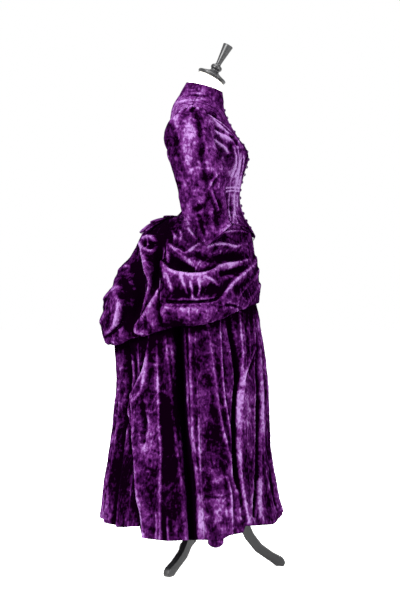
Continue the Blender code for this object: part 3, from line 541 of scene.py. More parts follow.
BASQUE_EDGE = ((0, 0.0), (12, 0.040), (30, 0.075), (70, 0.085), (118, 0.097), (150, 0.098), (180, 0.098))
ARMHOLE_ROW, ARMHOLE_HALF, ARMHOLE_MIDDLE = 0.684, 0.158, 100.0
ARMHOLE_FRONT, ARMHOLE_BACK = 19.0, 27.0
FRONT_SEAM, BACK_SEAM = 86.0, 118.0

BODICE_FOLDS = folds(
    (8, 10, 1.6, (98, 1088, 2), (118, 1068, 6), (132, 1048, 9)),
    (2.5, 3, 1.5, (2, 1034, 3), (38, 1064, 4), (86, 1070, 4), (124, 1061, 3)),
    (2.5, 4, 1.5, (93, 1322, 1), (94, 1290, 3), (86, 1245, 3), (75, 1190, 3), (72, 1140, 3),
     (84, 1092, 2)),
    (2.5, 4, 1.5, (103, 1318, 1), (104, 1290, 2), (96, 1242, 3), (86, 1195, 3), (83, 1145, 2)),
    (2.5, 4, 1.5, (64, 1240, 1), (58, 1190, 2), (55, 1140, 3), (62, 1100, 2)),
    (4, 3, 1.5, (-20, 1438, 2), (20, 1416, 4), (52, 1390, 4), (84, 1350, 2)),
    (6, 9, 1.5, (-50, 1449, 4), (-10, 1431, 7), (18, 1408, 8), (46, 1382, 8), (78, 1354, 7),
     (96, 1333, 4)),
    (5, 5, 1.8, (2, 1403, -2), (38, 1383, -3), (62, 1363, -2)),
    (5, 8, 1.5, (2, 1393, 3), (30, 1373, 6), (58, 1357, 7), (78, 1333, 4)),
    (5, 8, 1.5, (2, 1365, 3), (22, 1349, 6), (42, 1333, 6), (54, 1317, 3)),
    (9, 9, 2.0, (38, 1325, -2), (54, 1301, -3), (62, 1273, -2)),
    (14, 14, 2.2, (-2, 1325, 4), (6, 1293, 5)),
    (4, 5, 1.5, (70, 1335, 3), (79, 1301, 5), (75, 1269, 5), (66, 1245, 3)),
    (4, 5, 1.5, (82, 1333, 3), (88, 1301, 4), (86, 1269, 4), (78, 1241, 3)),
    (3, 3, 1.6, (42, 1203, 2), (66, 1205, 3), (88, 1203, 2)),
    (3, 3, 1.6, (44, 1193, 2), (66, 1195, 3), (88, 1193, 2)),
    (3, 4, 1.6, (10, 1165, 2), (30, 1179, 3), (48, 1191, 2)),
    (5, 6, 1.6, (70, 1181, 2), (72, 1141, 3), (70, 1093, 3)),
)


def bodice(degrees, row):
    """The smooth bodice, with a gentle bust."""
    points = on_rings(BODICE, degrees, row)
    bust = 10 * MM * bell(from_front(degrees), 34.0, 20.0) * bell(points[..., 2], 1.298, 0.045)
    points[..., 0] += bust
    points[..., 1] *= 1.0 + 0.5 * bust / 0.15
    return points


def bodice_row(degrees, height):
    """The row of a bodice piece at a share of its height, above its shaped lower edge."""
    low = np.interp(from_front(degrees), *zip(*BASQUE_EDGE))
    return np.clip(low + 0.012 * height * BODICE_STEPS, height, 0.9985)


print("folds of the bodice:", len(BODICE_FOLDS))

# %% Bodice pieces
SEAM_DIP = 1.1 * MM
SEAM_GAP = 0.12  # degrees between a piece and its seam line


def seam_dip(across, width):
    """The dip of the cloth at the seams on both sides of a piece of this width."""
    return -SEAM_DIP * (np.exp(-across * width / 0.003) + np.exp(-(1 - across) * width / 0.003))


def grid_of(columns, rows):
    """Shares across and up of a grid with an odd number of points each way."""
    return np.meshgrid(np.linspace(0, 1, 2 * columns + 1), np.linspace(0, 1, 2 * rows + 1))


def bodice_piece(name, degrees, row, width, flat, area):
    away = facing(bodice, degrees, row)
    points = bodice(degrees, row)
    lift = folded(side_view(points), BODICE_FOLDS) + 0.6 * crushed(points)
    across = np.linspace(0, 1, degrees.shape[1])[None, :]
    lift = np.maximum(lift, -1.2 * MM) + seam_dip(across, width)
    outer = points + away * lift[..., None]
    obj = wall_of_cloth(name, outer, away, painted_fold_light_of(lift, 6), velvet)
    worn(obj, name, flat, "stretched", ("form_torso",), area=area)


def armhole_edge(row, seam, reach):
    """Degrees where a front or back ends: at its side seam, the armhole or the shoulder seam."""
    width = reach * np.sqrt(np.clip(1.0 - ((row - ARMHOLE_ROW) / ARMHOLE_HALF) ** 2, 0.0, None))
    edge = ARMHOLE_MIDDLE + math.copysign(1.0, seam - ARMHOLE_MIDDLE) * width
    at_seam = (row < ARMHOLE_ROW) & (np.abs(edge - ARMHOLE_MIDDLE) < abs(seam - ARMHOLE_MIDDLE))
    return np.where(at_seam, seam, edge)


def front_or_back(name, side, centre, seam, reach, columns, flat, area):
    """A front or back of the bodice, from the centre line out."""
    u, v = grid_of(columns, 95)
    row = bodice_row(centre + (seam - centre) * u, v)
    gap = math.copysign(SEAM_GAP, seam - centre)
    edge = armhole_edge(row, seam, reach) - gap
    start = centre + gap
    bodice_piece(name, side * (start + (edge - start) * u), row, 0.12, flat, area)


def under_arm(name, side, flat, area):
    u, v = grid_of(16, 40)
    degrees = FRONT_SEAM + SEAM_GAP + (BACK_SEAM - FRONT_SEAM - 2 * SEAM_GAP) * u
    across = (degrees - ARMHOLE_MIDDLE) / np.where(degrees < ARMHOLE_MIDDLE, ARMHOLE_FRONT, ARMHOLE_BACK)
    top = ARMHOLE_ROW - ARMHOLE_HALF * np.sqrt(1 - across ** 2)
    low = np.interp(degrees, *zip(*BASQUE_EDGE))
    bodice_piece(name, side * degrees, low + (top - low) * v, 0.07, flat, area)


SIDES = {"right": 1, "left": -1}
for side_name, side in SIDES.items():
    front_or_back(f"bodice_front_{side_name}", side, 0.0, FRONT_SEAM, ARMHOLE_FRONT, 48,
                  (0.23, 0.46), 0.096)
    front_or_back(f"bodice_back_{side_name}", side, 180.0, BACK_SEAM, ARMHOLE_BACK, 34,
                  (0.16, 0.44), 0.062)
    under_arm(f"bodice_side_{side_name}", side, (0.085, 0.20), 0.0140)

# %% [markdown]
# The collar is one standing band of velvet, open at the front, a little lower there than behind. It
# wrinkles where it is bent round the neck.

# %% Collar
COLLAR = table(
    Ring,
    (1.4725, 1.5005, 0.0405, -0.1035, -0.032, 0.0630), (1.491, 1.520, 0.0395, -0.0920, -0.027, 0.0590),
    (1.508, 1.539, 0.0370, -0.0800, -0.022, 0.0570),
)
COLLAR_FOLDS = folds(
    (3, 4, 1.6, (-62, 1508, 0.5), (-40, 1506, 1.6), (-18, 1502, 0.5)),
    (3, 3, 1.6, (-80, 1520, 0.5), (-62, 1517, 1.2), (-45, 1519, 0.4)),
)


def collar(degrees, row):
    return on_rings(COLLAR, degrees, row)


u, v = grid_of(75, 10)
degrees = 0.6 + 358.8 * u
away = facing(collar, degrees, v)
points = collar(degrees, v)
points[..., 2] -= 4.0 * MM * (1 - v)
lift = folded(side_view(points), COLLAR_FOLDS) + 0.35 * crushed(points)
lift -= 0.8 * MM * np.exp(-v * 0.03 / 0.002)
collar_band = wall_of_cloth("collar", points + away * lift[..., None], away, painted_fold_light_of(lift, 5), velvet)
worn(collar_band, "collar", (0.33, 0.046), "stretched", ("bodice_back_right", "bodice_front_right"))

# %% [markdown]
# A sleeve of the time has two pieces, a wide one over the elbow and a narrow one under it, cut with the
# bend of the arm. Its rings turn as they go down: level at the wrist, steep over the shoulder. The
# first ring is the armhole itself, so that the head meets the bodice all round. Small gathers sit at
# the top of the head.

# %% Sleeves
SleeveRing = namedtuple("SleeveRing", "x y z half_width half_depth lean pitch")
SLEEVE = table(
    SleeveRing,
    (-0.0590, 0.1660, 1.3625, 0.0690, 0.0744, 81.0, 0),
    (-0.0710, 0.1790, 1.3435, 0.0750, 0.0700, 72.0, 0),
    (-0.0640, 0.1870, 1.3185, 0.0750, 0.0606, 62.0, 0),
    (-0.0540, 0.1900, 1.2875, 0.0760, 0.0493, 49.5, 0),
    (-0.0420, 0.1900, 1.2535, 0.0780, 0.0402, 32.0, 0),
    (-0.0335, 0.1880, 1.2160, 0.0765, 0.0360, 14.5, 0),
    (-0.0290, 0.1880, 1.1800, 0.0730, 0.0340, 4.0, 0),
    (-0.0275, 0.1900, 1.1500, 0.0715, 0.0320, 0.0, 0),
    (-0.0215, 0.1960, 1.1190, 0.0694, 0.0300, 0.0, 9),
    (-0.0060, 0.2050, 1.0875, 0.0597, 0.0280, 0.0, 20),
    (0.0088, 0.2130, 1.0600, 0.0533, 0.0260, 0.0, 33),
    (0.0227, 0.2200, 1.0385, 0.0486, 0.0250, 0.0, 41),
)
CUFF_START = 0.955
SLEEVE_FRONT_SEAM, SLEEVE_BACK_SEAM = -35.0, 205.0

SLEEVE_FOLDS = folds(
    (11, 12, 1.8, (-53, 1445, -2), (-42, 1413, -2), (-33, 1377, -3), (-29, 1325, -3), (-23, 1265, -3),
     (-16, 1209, -2), (-10, 1169, -2)),
    (14, 14, 2.0, (-126, 1397, -4), (-118, 1357, -5), (-114, 1317, -3)),
    (22, 22, 2.0, (-70, 1413, 3), (-68, 1365, 4), (-74, 1317, 4), (-70, 1269, 3)),
    (4, 5, 1.5, (2, 1191, 2), (12, 1165, 5), (23, 1136, 3)),
    (4, 5, 1.5, (-8, 1203, 2), (2, 1225, 5), (18, 1245, 3)),
    (12, 12, 2.0, (-50, 1133, -4), (-38, 1141, -5), (-22, 1149, -3)),
    (3, 4, 1.4, (-110, 1193, 1), (-104, 1157, 3), (-94, 1129, 3), (-74, 1089, 3), (-48, 1047, 2)),
    (14, 12, 2.0, (-2, 1125, 3), (2, 1093, 4), (18, 1061, 3)),
    (8, 8, 2.0, (-38, 1113, -3), (-30, 1077, -4), (-18, 1045, -2)),
)


def armhole(turn, share):
    """Degrees and row of the armhole: turn 0 is its front, 90 its top."""
    forward, up = np.cos(np.radians(turn)), np.sin(np.radians(turn))
    reach = np.where(forward > 0, ARMHOLE_FRONT, ARMHOLE_BACK)
    return ARMHOLE_MIDDLE - share * forward * reach, ARMHOLE_ROW + share * up * ARMHOLE_HALF


def sleeve(turn, length):
    """The right sleeve's smooth outer face: turn 0 is its front, 90 its outer side, length 1 the wrist."""
    forward, out = np.cos(np.radians(turn))[..., None], np.sin(np.radians(turn))[..., None]
    where = np.clip(length, 0, 1) * len(SLEEVE)
    first = np.minimum(where.astype(int), len(SLEEVE) - 1)
    share = (where - first)[..., None]
    degrees, row = armhole(turn, 1.05)
    head = bodice(degrees, row) + facing(bodice, degrees, row) * 1.2 * MM
    rings = np.array(SLEEVE)
    lean, pitch = np.radians(rings[:, 5]), np.radians(rings[:, 6])
    centre = rings[:, :3] * (1, -1, 1)
    front = np.stack([np.cos(pitch), 0 * pitch, np.sin(pitch)], -1) * rings[:, 3:4]
    outer = np.stack([0 * lean, -np.cos(lean), np.sin(lean)], -1) * rings[:, 4:5]

    def ring(step):
        index = np.clip(first + step, 0, len(SLEEVE)) - 1
        spot = centre[index] + front[index] * forward + outer[index] * out
        return np.where((index < 0)[..., None], head, spot)

    return curve_between(*(ring(step) for step in (-1, 0, 1, 2)), share)


def sleeve_piece(name, side, start, end, columns, flat, rests_on):
    u, v = grid_of(columns, 95)
    turn = start + 0.25 + (end - start - 0.5) * u
    length = v * (CUFF_START + 0.012)
    points = sleeve(turn, length)
    away = unit(points - (points + sleeve(turn + 180.0, length)) / 2)
    outer_side = np.clip(np.sin(np.radians(turn)), 0.0, 1.0)
    head = np.clip(length / 0.10, 0, 1)
    gathers = np.sin(np.pi * np.clip(length / 0.15, 0, 1)) * bell(turn, 95.0, 40.0)
    lift = gathers * 2.2 * MM * np.cos(np.radians(turn * 19.0)) + 0.7 * crushed(points) * head
    lift += folded(side_view(points), SLEEVE_FOLDS) * head * outer_side
    lift += seam_dip(u, 0.15) * head - 1.5 * MM * np.clip((length - 0.94) / 0.03, 0, 1)
    outer = points + away * lift[..., None]
    outer[..., 1] *= side
    away[..., 1] *= side
    obj = wall_of_cloth(name, outer, away, painted_fold_light_of(lift, 6), velvet)
    worn(obj, name, flat, "draped", rests_on)


def cuff(name, side):
    """A narrow turned band round the wrist."""
    turn, level = np.meshgrid(np.arange(0, 360, 3.0), np.linspace(0, 1, 11))
    length = CUFF_START + (1 - CUFF_START) * level
    points = sleeve(turn, length)
    away = unit(points - sleeve(turn + 180.0, length))
    lift = 1.1 * MM * np.sin(np.pi * level) ** 0.5 + 0.3 * crushed(points) + 0.3 * MM
    outer = points + away * lift[..., None]
    outer[..., 1] *= side
    away[..., 1] *= side
    obj = wall_of_cloth(name, outer, away, painted_fold_light_of(lift, 4), velvet, closed=True)
    worn(obj, name, (0.21, 0.018), "stretched", (f"sleeve_top_{name.split('_')[1]}",))


for side_name, side in SIDES.items():
    top, under = f"sleeve_top_{side_name}", f"sleeve_under_{side_name}"
    on_bodice = (f"bodice_front_{side_name}", f"bodice_back_{side_name}")
    sleeve_piece(top, side, SLEEVE_FRONT_SEAM, SLEEVE_BACK_SEAM, 55, (0.24, 0.40), on_bodice)
    sleeve_piece(under, side, SLEEVE_BACK_SEAM, SLEEVE_FRONT_SEAM + 360.0, 30, (0.13, 0.34), on_bodice)
    cuff(f"cuff_{side_name}", side)

# %% [markdown]
# The overskirt is two pieces on one surface. The apron is a single width pulled across the hips: its
# surplus hangs in swags that end at the bustle, and its lower edge is rolled under. The bustle behind
# it is the rest of the width, caught up in puffs. On a puff the cloth stands out and its edges drop
# into dark pockets, so the table gives the puffs as lifts and the pockets as deep negative ones.

# %% Apron and bustle
DRAPE = table(
    Ring,
    (1.085, 1.110, 0.1160, -0.1072, 0.000, 0.1465), (1.058, 1.098, 0.1280, -0.165, -0.010, 0.160),
    (1.025, 1.060, 0.1350, -0.215, -0.025, 0.172), (0.985, 1.000, 0.1410, -0.248, -0.040, 0.190),
    (0.945, 0.938, 0.1470, -0.290, -0.050, 0.208), (0.905, 0.870, 0.1520, -0.329, -0.060, 0.222),
    (0.875, 0.800, 0.1540, -0.349, -0.070, 0.232), (0.850, 0.738, 0.1540, -0.347, -0.070, 0.234),
    (0.836, 0.706, 0.1520, -0.330, -0.070, 0.224), (0.846, 0.714, 0.1490, -0.312, -0.070, 0.212),
)
DRAPE_SEAM = np.array((126.0, 130.0, 126.0, 120.0, 115.0, 111.0, 108.0, 107.0, 107.0, 107.0))[:, None]

SWAGS = folds(
    (3, 4, 1.5, (2, 1034, 2), (38, 1060, 4), (86, 1066, 4), (124, 1056, 3)),
    (5, 6, 1.4, (-136, 1023, 5), (-99, 1002, 6), (-82, 995, 6), (-60, 1008, 6), (-39, 1025, 4)),
    (5, 8, 1.4, (-128, 1013, 4), (-84, 980, 7), (-58, 958, 3)),
    (14, 14, 2.0, (-119, 972, -14), (-91, 955, -22), (-64, 943, -14)),
    (5, 32, 1.6, (-154, 962, 16), (-138, 945, 18), (-119, 934, 20), (-95, 930, 20), (-60, 927, 18),
     (-29, 928, 16), (2, 937, 15), (29, 954, 14), (56, 960, 13), (87, 966, 11), (115, 972, 8)),
    (16, 16, 2.0, (-37, 986, -10), (2, 978, -13), (48, 984, -12), (95, 990, -8)),
    (8, 6, 1.4, (-8, 1015, 6), (21, 1022, 11), (48, 1021, 12), (76, 1015, 9), (95, 1020, 5)),
    (11, 11, 2.0, (33, 931, -8), (64, 937, -14), (95, 947, -10)),
    (26, 5, 1.5, (138, 966, 10), (99, 929, 13), (64, 898, 15), (47, 877, 15), (35, 856, 12)),
    (20, 24, 2.0, (-115, 865, -9), (-60, 869, -7), (-10, 877, -11), (17, 881, -9)),
    (5, 5, 1.5, (-93, 916, 3), (-86, 893, 6), (-76, 865, 3)),
    (5, 6, 1.5, (-66, 900, 3), (-60, 877, 6), (-60, 850, 4)),
    (5, 5, 1.5, (-41, 908, 3), (-36, 881, 6), (-41, 861, 2)),
    (5, 5, 1.5, (-21, 916, 3), (2, 906, 6), (21, 893, 3)),
    (4, 4, 1.8, (-138, 840, -12), (-99, 839, -12), (-41, 840, -12), (10, 846, -12), (25, 860, -8)),
    (27, 30, 3.0, (-138, 805, 16), (-99, 801, 18), (-41, 800, 18), (10, 807, 17), (45, 826, 14),
     (76, 842, 9)),
    (6, 5, 1.5, (-138, 1036, 4), (-139, 997, 6), (-138, 962, 4)),
    (10, 14, 1.5, (-148, 947, 8), (-140, 920, 9), (-130, 893, 6), (-123, 865, 4)),
    (4, 7, 1.5, (130, 908, 3), (103, 877, 5), (80, 850, 3)),
    (4, 7, 1.5, (142, 869, 3), (115, 830, 5), (83, 799, 4)),
    (4, 4, 1.8, (41, 830, -5), (68, 828, -6), (95, 819, -3)),
    (5, 5, 1.6, (-123, 1062, 3), (-115, 1048, 5), (-119, 1032, 2)),
    (5, 5, 1.6, (-99, 1065, 3), (-93, 1052, 5), (-99, 1036, 2)),
    (5, 5, 1.6, (-72, 1071, 4), (-60, 1056, 6), (-49, 1040, 4)),
)
PUFFS = folds(
    (9, 10, 1.8, (-226, 1028, 8), (-212, 1042, 12), (-192, 1046, 12), (-176, 1036, 6)),
    (7, 7, 1.6, (-219, 1020, 5), (-204, 1003, 10), (-186, 1003, 9), (-172, 1018, 4)),
    (6, 6, 2.0, (-216, 1030, -9), (-210, 1019, -9)),
    (5, 5, 2.0, (-190, 1026, -8), (-182, 1024, -8)),
    (4, 4, 1.6, (-199, 1044, 4), (-198, 1028, 9), (-202, 1010, 6)),
    (14, 5, 1.5, (-225, 1021, 10), (-217, 982, 14), (-210, 947, 15), (-199, 922, 12)),
    (8, 5, 1.5, (-205, 938, 6), (-196, 912, 18), (-193, 890, 20), (-198, 866, 18), (-208, 840, 16),
     (-217, 815, 13), (-228, 797, 8)),
    (10, 12, 2.2, (-206, 994, 6), (-202, 955, 6), (-198, 931, 4)),
    (28, 20, 2.4, (-246, 990, -10), (-244, 947, -28), (-246, 908, -44), (-248, 869, -52),
     (-253, 830, -50), (-260, 799, -42), (-268, 768, -24)),
    (14, 14, 2.0, (-262, 965, -6), (-274, 925, -13), (-281, 885, -13), (-279, 855, -6)),
    (18, 15, 2.6, (-162, 1016, -10), (-168, 984, -38), (-169, 943, -50), (-170, 910, -48),
     (-168, 888, -30), (-165, 872, -8)),
    (6, 6, 2.0, (-161, 900, -26), (-160, 860, -30), (-157, 826, -26), (-152, 800, -12)),
    (18, 5, 1.6, (-170, 874, 16), (-181, 845, 19), (-200, 812, 18), (-221, 788, 12)),
    (20, 22, 2.4, (-176, 836, 10), (-182, 807, 14), (-180, 776, 13)),
    (5, 14, 1.5, (-167, 880, 10), (-160, 838, 12), (-153, 797, 12), (-134, 778, 8)),
    (12, 8, 1.6, (-243, 780, 8), (-246, 757, 12), (-235, 743, 12), (-204, 741, 8)),
    (26, 30, 2.0, (-274, 931, 6), (-292, 900, 10), (-309, 861, 12), (-321, 823, 12), (-325, 792, 8)),
    (7, 7, 1.6, (-278, 900, -5), (-268, 877, -7), (-280, 854, -5)),
    (6, 6, 1.6, (-288, 830, 3), (-285, 799, -7), (-295, 764, -9), (-317, 741, -9), (-340, 727, -7)),
    (4, 14, 1.5, (-285, 842, 8), (-290, 800, 16), (-299, 768, 16), (-317, 745, 12), (-340, 729, 6)),
    (16, 14, 2.0, (-334, 718, 8), (-313, 712, 10), (-282, 720, 8)),
    (5, 8, 1.5, (-243, 1032, 5), (-246, 1005, 7), (-257, 978, 7), (-272, 955, 5)),
)
FRONT_SWAGS = folds(
    (5, 16, 1.6, (-120, 945, 4), (-60, 972, 8), (0, 982, 9), (60, 970, 8), (120, 948, 4)),
    (5, 16, 1.6, (-120, 898, 4), (-55, 930, 8), (5, 944, 9), (62, 928, 8), (120, 900, 4)),
    (5, 18, 1.6, (-125, 850, 3), (-60, 884, 7), (-4, 896, 8), (58, 886, 7), (125, 853, 3)),
)
BACK_SWAGS = folds(
    (24, 8, 1.6, (-140, 985, 6), (-70, 950, 12), (0, 938, 14), (66, 952, 12), (140, 988, 6)),
    (26, 8, 1.6, (-150, 905, 6), (-74, 862, 13), (0, 846, 15), (78, 860, 13), (150, 902, 6)),
    (14, 14, 2.0, (-90, 900, -8), (0, 888, -14), (90, 900, -8)),
    (22, 8, 1.6, (-140, 822, 5), (-60, 782, 10), (6, 772, 11), (70, 784, 10), (140, 824, 5)),
    (12, 12, 2.0, (-90, 818, -6), (0, 808, -11), (90, 818, -6)),
)
DRAPE_GAP = 0.25  # degrees between a piece and the seam line
DRAPE_CRUSH = 1.3  # loose cloth is crushed more than the bodice


def drape(degrees, row):
    return on_rings(DRAPE, degrees, row)


def drape_seam(row):
    """Degrees from the front where the apron meets the bustle."""
    return smooth_rows(DRAPE_SEAM, row)[..., 0]


def end_view(points):
    """Across and height in millimetres, as seen from straight in front or behind."""
    return points[..., 1:] / MM


def drape_lift(degrees, row, side_folds, end_folds, middle, widths, shares):
    """The lift of folds seen from the side, which give way at the middle to folds seen from there."""
    points, around = drape(degrees, row), from_front(degrees)
    lift = folded(side_view(points), side_folds) * (1.0 - shares[0] * bell(around, middle, widths[0]))
    lift += folded(end_view(points), end_folds) * shares[1] * bell(around, middle, widths[1])
    return lift * np.clip(row / 0.10, 0, 1) * np.clip((1.03 - row) / 0.12, 0, 1)


def apron_lift(degrees, row):
    return drape_lift(degrees, row, SWAGS, FRONT_SWAGS, 0.0, (34.0, 42.0), (0.75, 0.60))


def bustle_lift(degrees, row):
    return drape_lift(degrees, row, PUFFS, BACK_SWAGS, 180.0, (26.0, 34.0), (0.85, 0.45))


def draped_piece(name, degrees, row, lift_of, flat, area, held, to_seam=1.0):
    away = facing(drape, degrees, row)
    points = drape(degrees, row)
    lift = (lift_of(degrees, row) + DRAPE_CRUSH * crushed(points)) * to_seam
    outer = points + away * lift[..., None]
    obj = wall_of_cloth(name, outer, away, painted_fold_light_of(lift, 7, 6 * MM), velvet)
    under = ("skirt_front", "skirt_side_front_right", "skirt_back")
    worn(obj, name, flat, held, under, area=area)


u, v = grid_of(170, 95)
row = 1.0 - v
degrees = (drape_seam(row) - DRAPE_GAP) * (2 * u - 1)
draped_piece("front_drape", degrees, row, apron_lift, (0.80, 0.56), 0.40, "draped")

u, v = grid_of(120, 100)
row = 1.0 - v
seam = drape_seam(row) + DRAPE_GAP
degrees = seam + (360 - 2 * seam) * u
to_seam = np.clip(np.minimum(u, 1 - u) / 0.05, 0, 1)
draped_piece("bustle_drape", degrees, row, bustle_lift, (0.74, 0.60), 0.38, "gathered", to_seam)

# %% [markdown]
# Behind the waist the bodice ends in a tail of small pleats that lies on the bustle and fans out into
# points. Three rows of them lie over each other, and their tips stand off the cloth below.

# %% Tail of the bodice
u, v = grid_of(60, 24)
across = 2 * u - 1
pleat = 1 - np.abs((across * 3.5 + 0.5) % 1 * 2 - 1)
row = 0.012 + 0.225 * v * (0.66 + 0.34 * pleat)
degrees = 180.0 + across * (26.0 + 6.0 * v)
away = facing(drape, degrees, row)
seat = drape(degrees, row) + away * bustle_lift(degrees, row)[..., None]
barb = ((3 * v) % 1) ** 1.5 * np.clip(3 * v, 0, 1)
lift = 2.4 * MM + 5 * MM * pleat * np.clip(2 * v, 0, 1) + 6 * MM * barb + 0.5 * crushed(seat)
outer = seat + away * lift[..., None]
tail = wall_of_cloth("basque_tail", outer, away, painted_fold_light_of(lift, 6), velvet, thickness=2.0 * MM)
worn(tail, "basque_tail", (0.18, 0.12), "folded", ("bustle_drape",))

# %% [markdown]
# The underskirt is six gores, sewn side by side and laid in deep pleats. A pleat has a sharp edge, a
# flat face on one side of it and a black gap on the other, so its line in the table has very different
# widths left and right. One edge of each gore is turned in under its neighbour, as the allowance of a
# pressed seam is.

# %% Underskirt
SKIRT = table(
    Ring,
    (1.085, 1.110, 0.1130, -0.1044, 0.000, 0.1436), (1.020, 1.030, 0.1210, -0.160, -0.020, 0.157),
    (0.930, 0.930, 0.1290, -0.222, -0.045, 0.170), (0.850, 0.850, 0.1430, -0.262, -0.060, 0.185),
    (0.784, 0.784, 0.1555, -0.287, -0.068, 0.202), (0.700, 0.700, 0.1680, -0.302, -0.070, 0.218),
    (0.600, 0.600, 0.1800, -0.298, -0.068, 0.232), (0.480, 0.480, 0.1880, -0.306, -0.064, 0.256),
    (0.360, 0.360, 0.1930, -0.321, -0.062, 0.282), (0.247, 0.247, 0.2130, -0.338, -0.060, 0.305),
    (0.155, 0.146, 0.2310, -0.349, -0.058, 0.325),
)
GORE_SEAMS = ((36.0, 49.0), (85.0, 82.5), (132.0, 132.5))
HEM = (
    (-345, 152), (-300, 153), (-262, 163), (-229, 171), (-221, 137), (-141, 134), (-64, 140), (0, 138),
    (33, 136), (60, 148), (103, 152), (111, 171), (170, 163), (198, 157), (220, 165), (232, 172),
)

PLEATS = folds(
    (4, 6, 1.5, (-282, 526, 3), (-265, 475, 6), (-253, 432, 6), (-246, 378, 3)),
    (8, 8, 2.0, (-273, 464, -7), (-265, 410, -8), (-260, 357, -5)),
    (14, 14, 2.2, (-262, 684, -14), (-257, 625, -18), (-262, 561, -12)),
    (24, 5, 1.5, (-198, 711, 10), (-205, 658, 12), (-217, 612, 14), (-234, 576, 16), (-245, 544, 18),
     (-248, 496, 18), (-245, 421, 18), (-240, 346, 18), (-238, 282, 17), (-232, 196, 17),
     (-218, 126, 16), (-214, 72, 14)),
    (8, 8, 2.0, (-219, 507, -5), (-215, 453, -8), (-217, 394, -6)),
    (6, 9, 1.5, (-195, 706, 4), (-202, 641, 6), (-217, 561, 7), (-241, 523, 4)),
    (4, 14, 1.5, (-173, 722, 5), (-170, 604, 7), (-166, 464, 8), (-161, 367, 8), (-163, 249, 8),
     (-162, 99, 7)),
    (4, 14, 1.6, (-144, 711, 3), (-139, 658, 4), (-130, 577, 6), (-119, 464, 7), (-104, 341, 8),
     (-89, 233, 8), (-80, 136, 8), (-76, 72, 7)),
    (12, 12, 2.6, (-101, 733, -26), (-96, 658, -34), (-93, 577, -36), (-88, 464, -36), (-77, 341, -34),
     (-67, 239, -32), (-61, 131, -28), (-58, 72, -26)),
    (17, 14, 2.4, (-112, 760, -22), (-106, 600, -26), (-100, 470, -18), (-90, 380, -6)),
    (26, 4, 1.5, (-70, 722, 12), (-67, 604, 14), (-62, 496, 16), (-61, 416, 17), (-55, 346, 18),
     (-45, 255, 18), (-39, 147, 17), (-36, 72, 16)),
    (4, 5, 1.5, (-39, 464, 3), (-38, 389, 5), (-33, 303, 3)),
    (9, 13, 1.5, (-4, 719, 6), (9, 631, 8), (22, 523, 9), (36, 443, 10), (56, 357, 11), (70, 298, 10),
     (79, 249, 8), (95, 147, 6)),
    (4, 6, 1.5, (33, 717, 5), (37, 631, 6), (44, 539, 6), (63, 432, 6), (74, 335, 5)),
    (4, 5, 1.5, (52, 282, 3), (65, 228, 6), (68, 169, 6), (71, 104, 4)),
    (9, 9, 2.4, (68, 733, -14), (82, 658, -18), (89, 593, -22), (83, 523, -26), (79, 416, -26),
     (79, 303, -18), (84, 249, -6)),
    (24, 4, 1.5, (95, 733, 10), (101, 668, 10), (99, 604, 12), (92, 550, 14), (89, 464, 15),
     (87, 378, 15), (91, 298, 14), (105, 185, 13), (118, 120, 12)),
    (4, 6, 1.5, (141, 690, 5), (125, 650, 7), (108, 609, 6), (99, 577, 4)),
    (4, 5, 1.6, (122, 738, 4), (125, 684, 5), (119, 652, 3)),
    (5, 5, 2.2, (148, 717, -9), (152, 604, -12), (154, 496, -14), (152, 335, -14), (147, 228, -16),
     (139, 142, -16)),
    (18, 3, 1.5, (157, 717, 5), (159, 604, 7), (161, 496, 8), (158, 335, 8), (157, 228, 8),
     (156, 142, 7)),
    (8, 8, 2.0, (186, 292, -5), (200, 239, -8), (211, 190, -7)),
    (4, 4, 1.6, (-176, 174, 2), (-173, 136, 5), (-176, 99, 3)),
    (4, 4, 1.6, (-141, 163, 2), (-139, 120, 6), (-136, 77, 4)),
    (3, 3, 1.6, (-18, 222, -2), (14, 221, -3), (57, 224, -2)),
)
APRON_EDGE, PLEAT_TOP = 700, 850


def from_under_the_apron(fold):
    """The fold, carried up to where the apron hides it."""
    (x, z, lift), (x_below, z_below, _) = fold.path[:2]
    top = (x + (x - x_below) / (z - z_below) * (PLEAT_TOP - z), PLEAT_TOP, lift)
    return fold._replace(path=(top, *fold.path)) if z > APRON_EDGE else fold


PLEATS = tuple(from_under_the_apron(fold) for fold in PLEATS)
EndPleat = namedtuple("EndPleat", "waist hem lift width_before width_after")
END_PLEATS = table(
    EndPleat,
    (5, 7, -12, 2.0, 2.2), (15, 20, -11, 3.5, 1.4), (24, 30, 5, 5.0, 2.0), (150, 151, -20, 3.2, 4.0),
    (160, 161, 8, 3.0, 6.0), (168, 169, -22, 4.5, 2.6), (176, 177, 6, 3.0, 3.0),
)


def skirt(degrees, row):
    return on_rings(SKIRT, degrees, row)


def end_pleats(degrees, row):
    """Pleats at the middle of the front and back, by degrees from the front."""
    lift, around = np.zeros(degrees.shape), from_front(degrees)
    for pleat in END_PLEATS:
        off = around - (pleat.waist + (pleat.hem - pleat.waist) * row)
        width = np.where(off < 0, pleat.width_before, pleat.width_after)
        lift += pleat.lift * MM * np.exp(-np.abs(off / width) ** 1.7)
    return lift


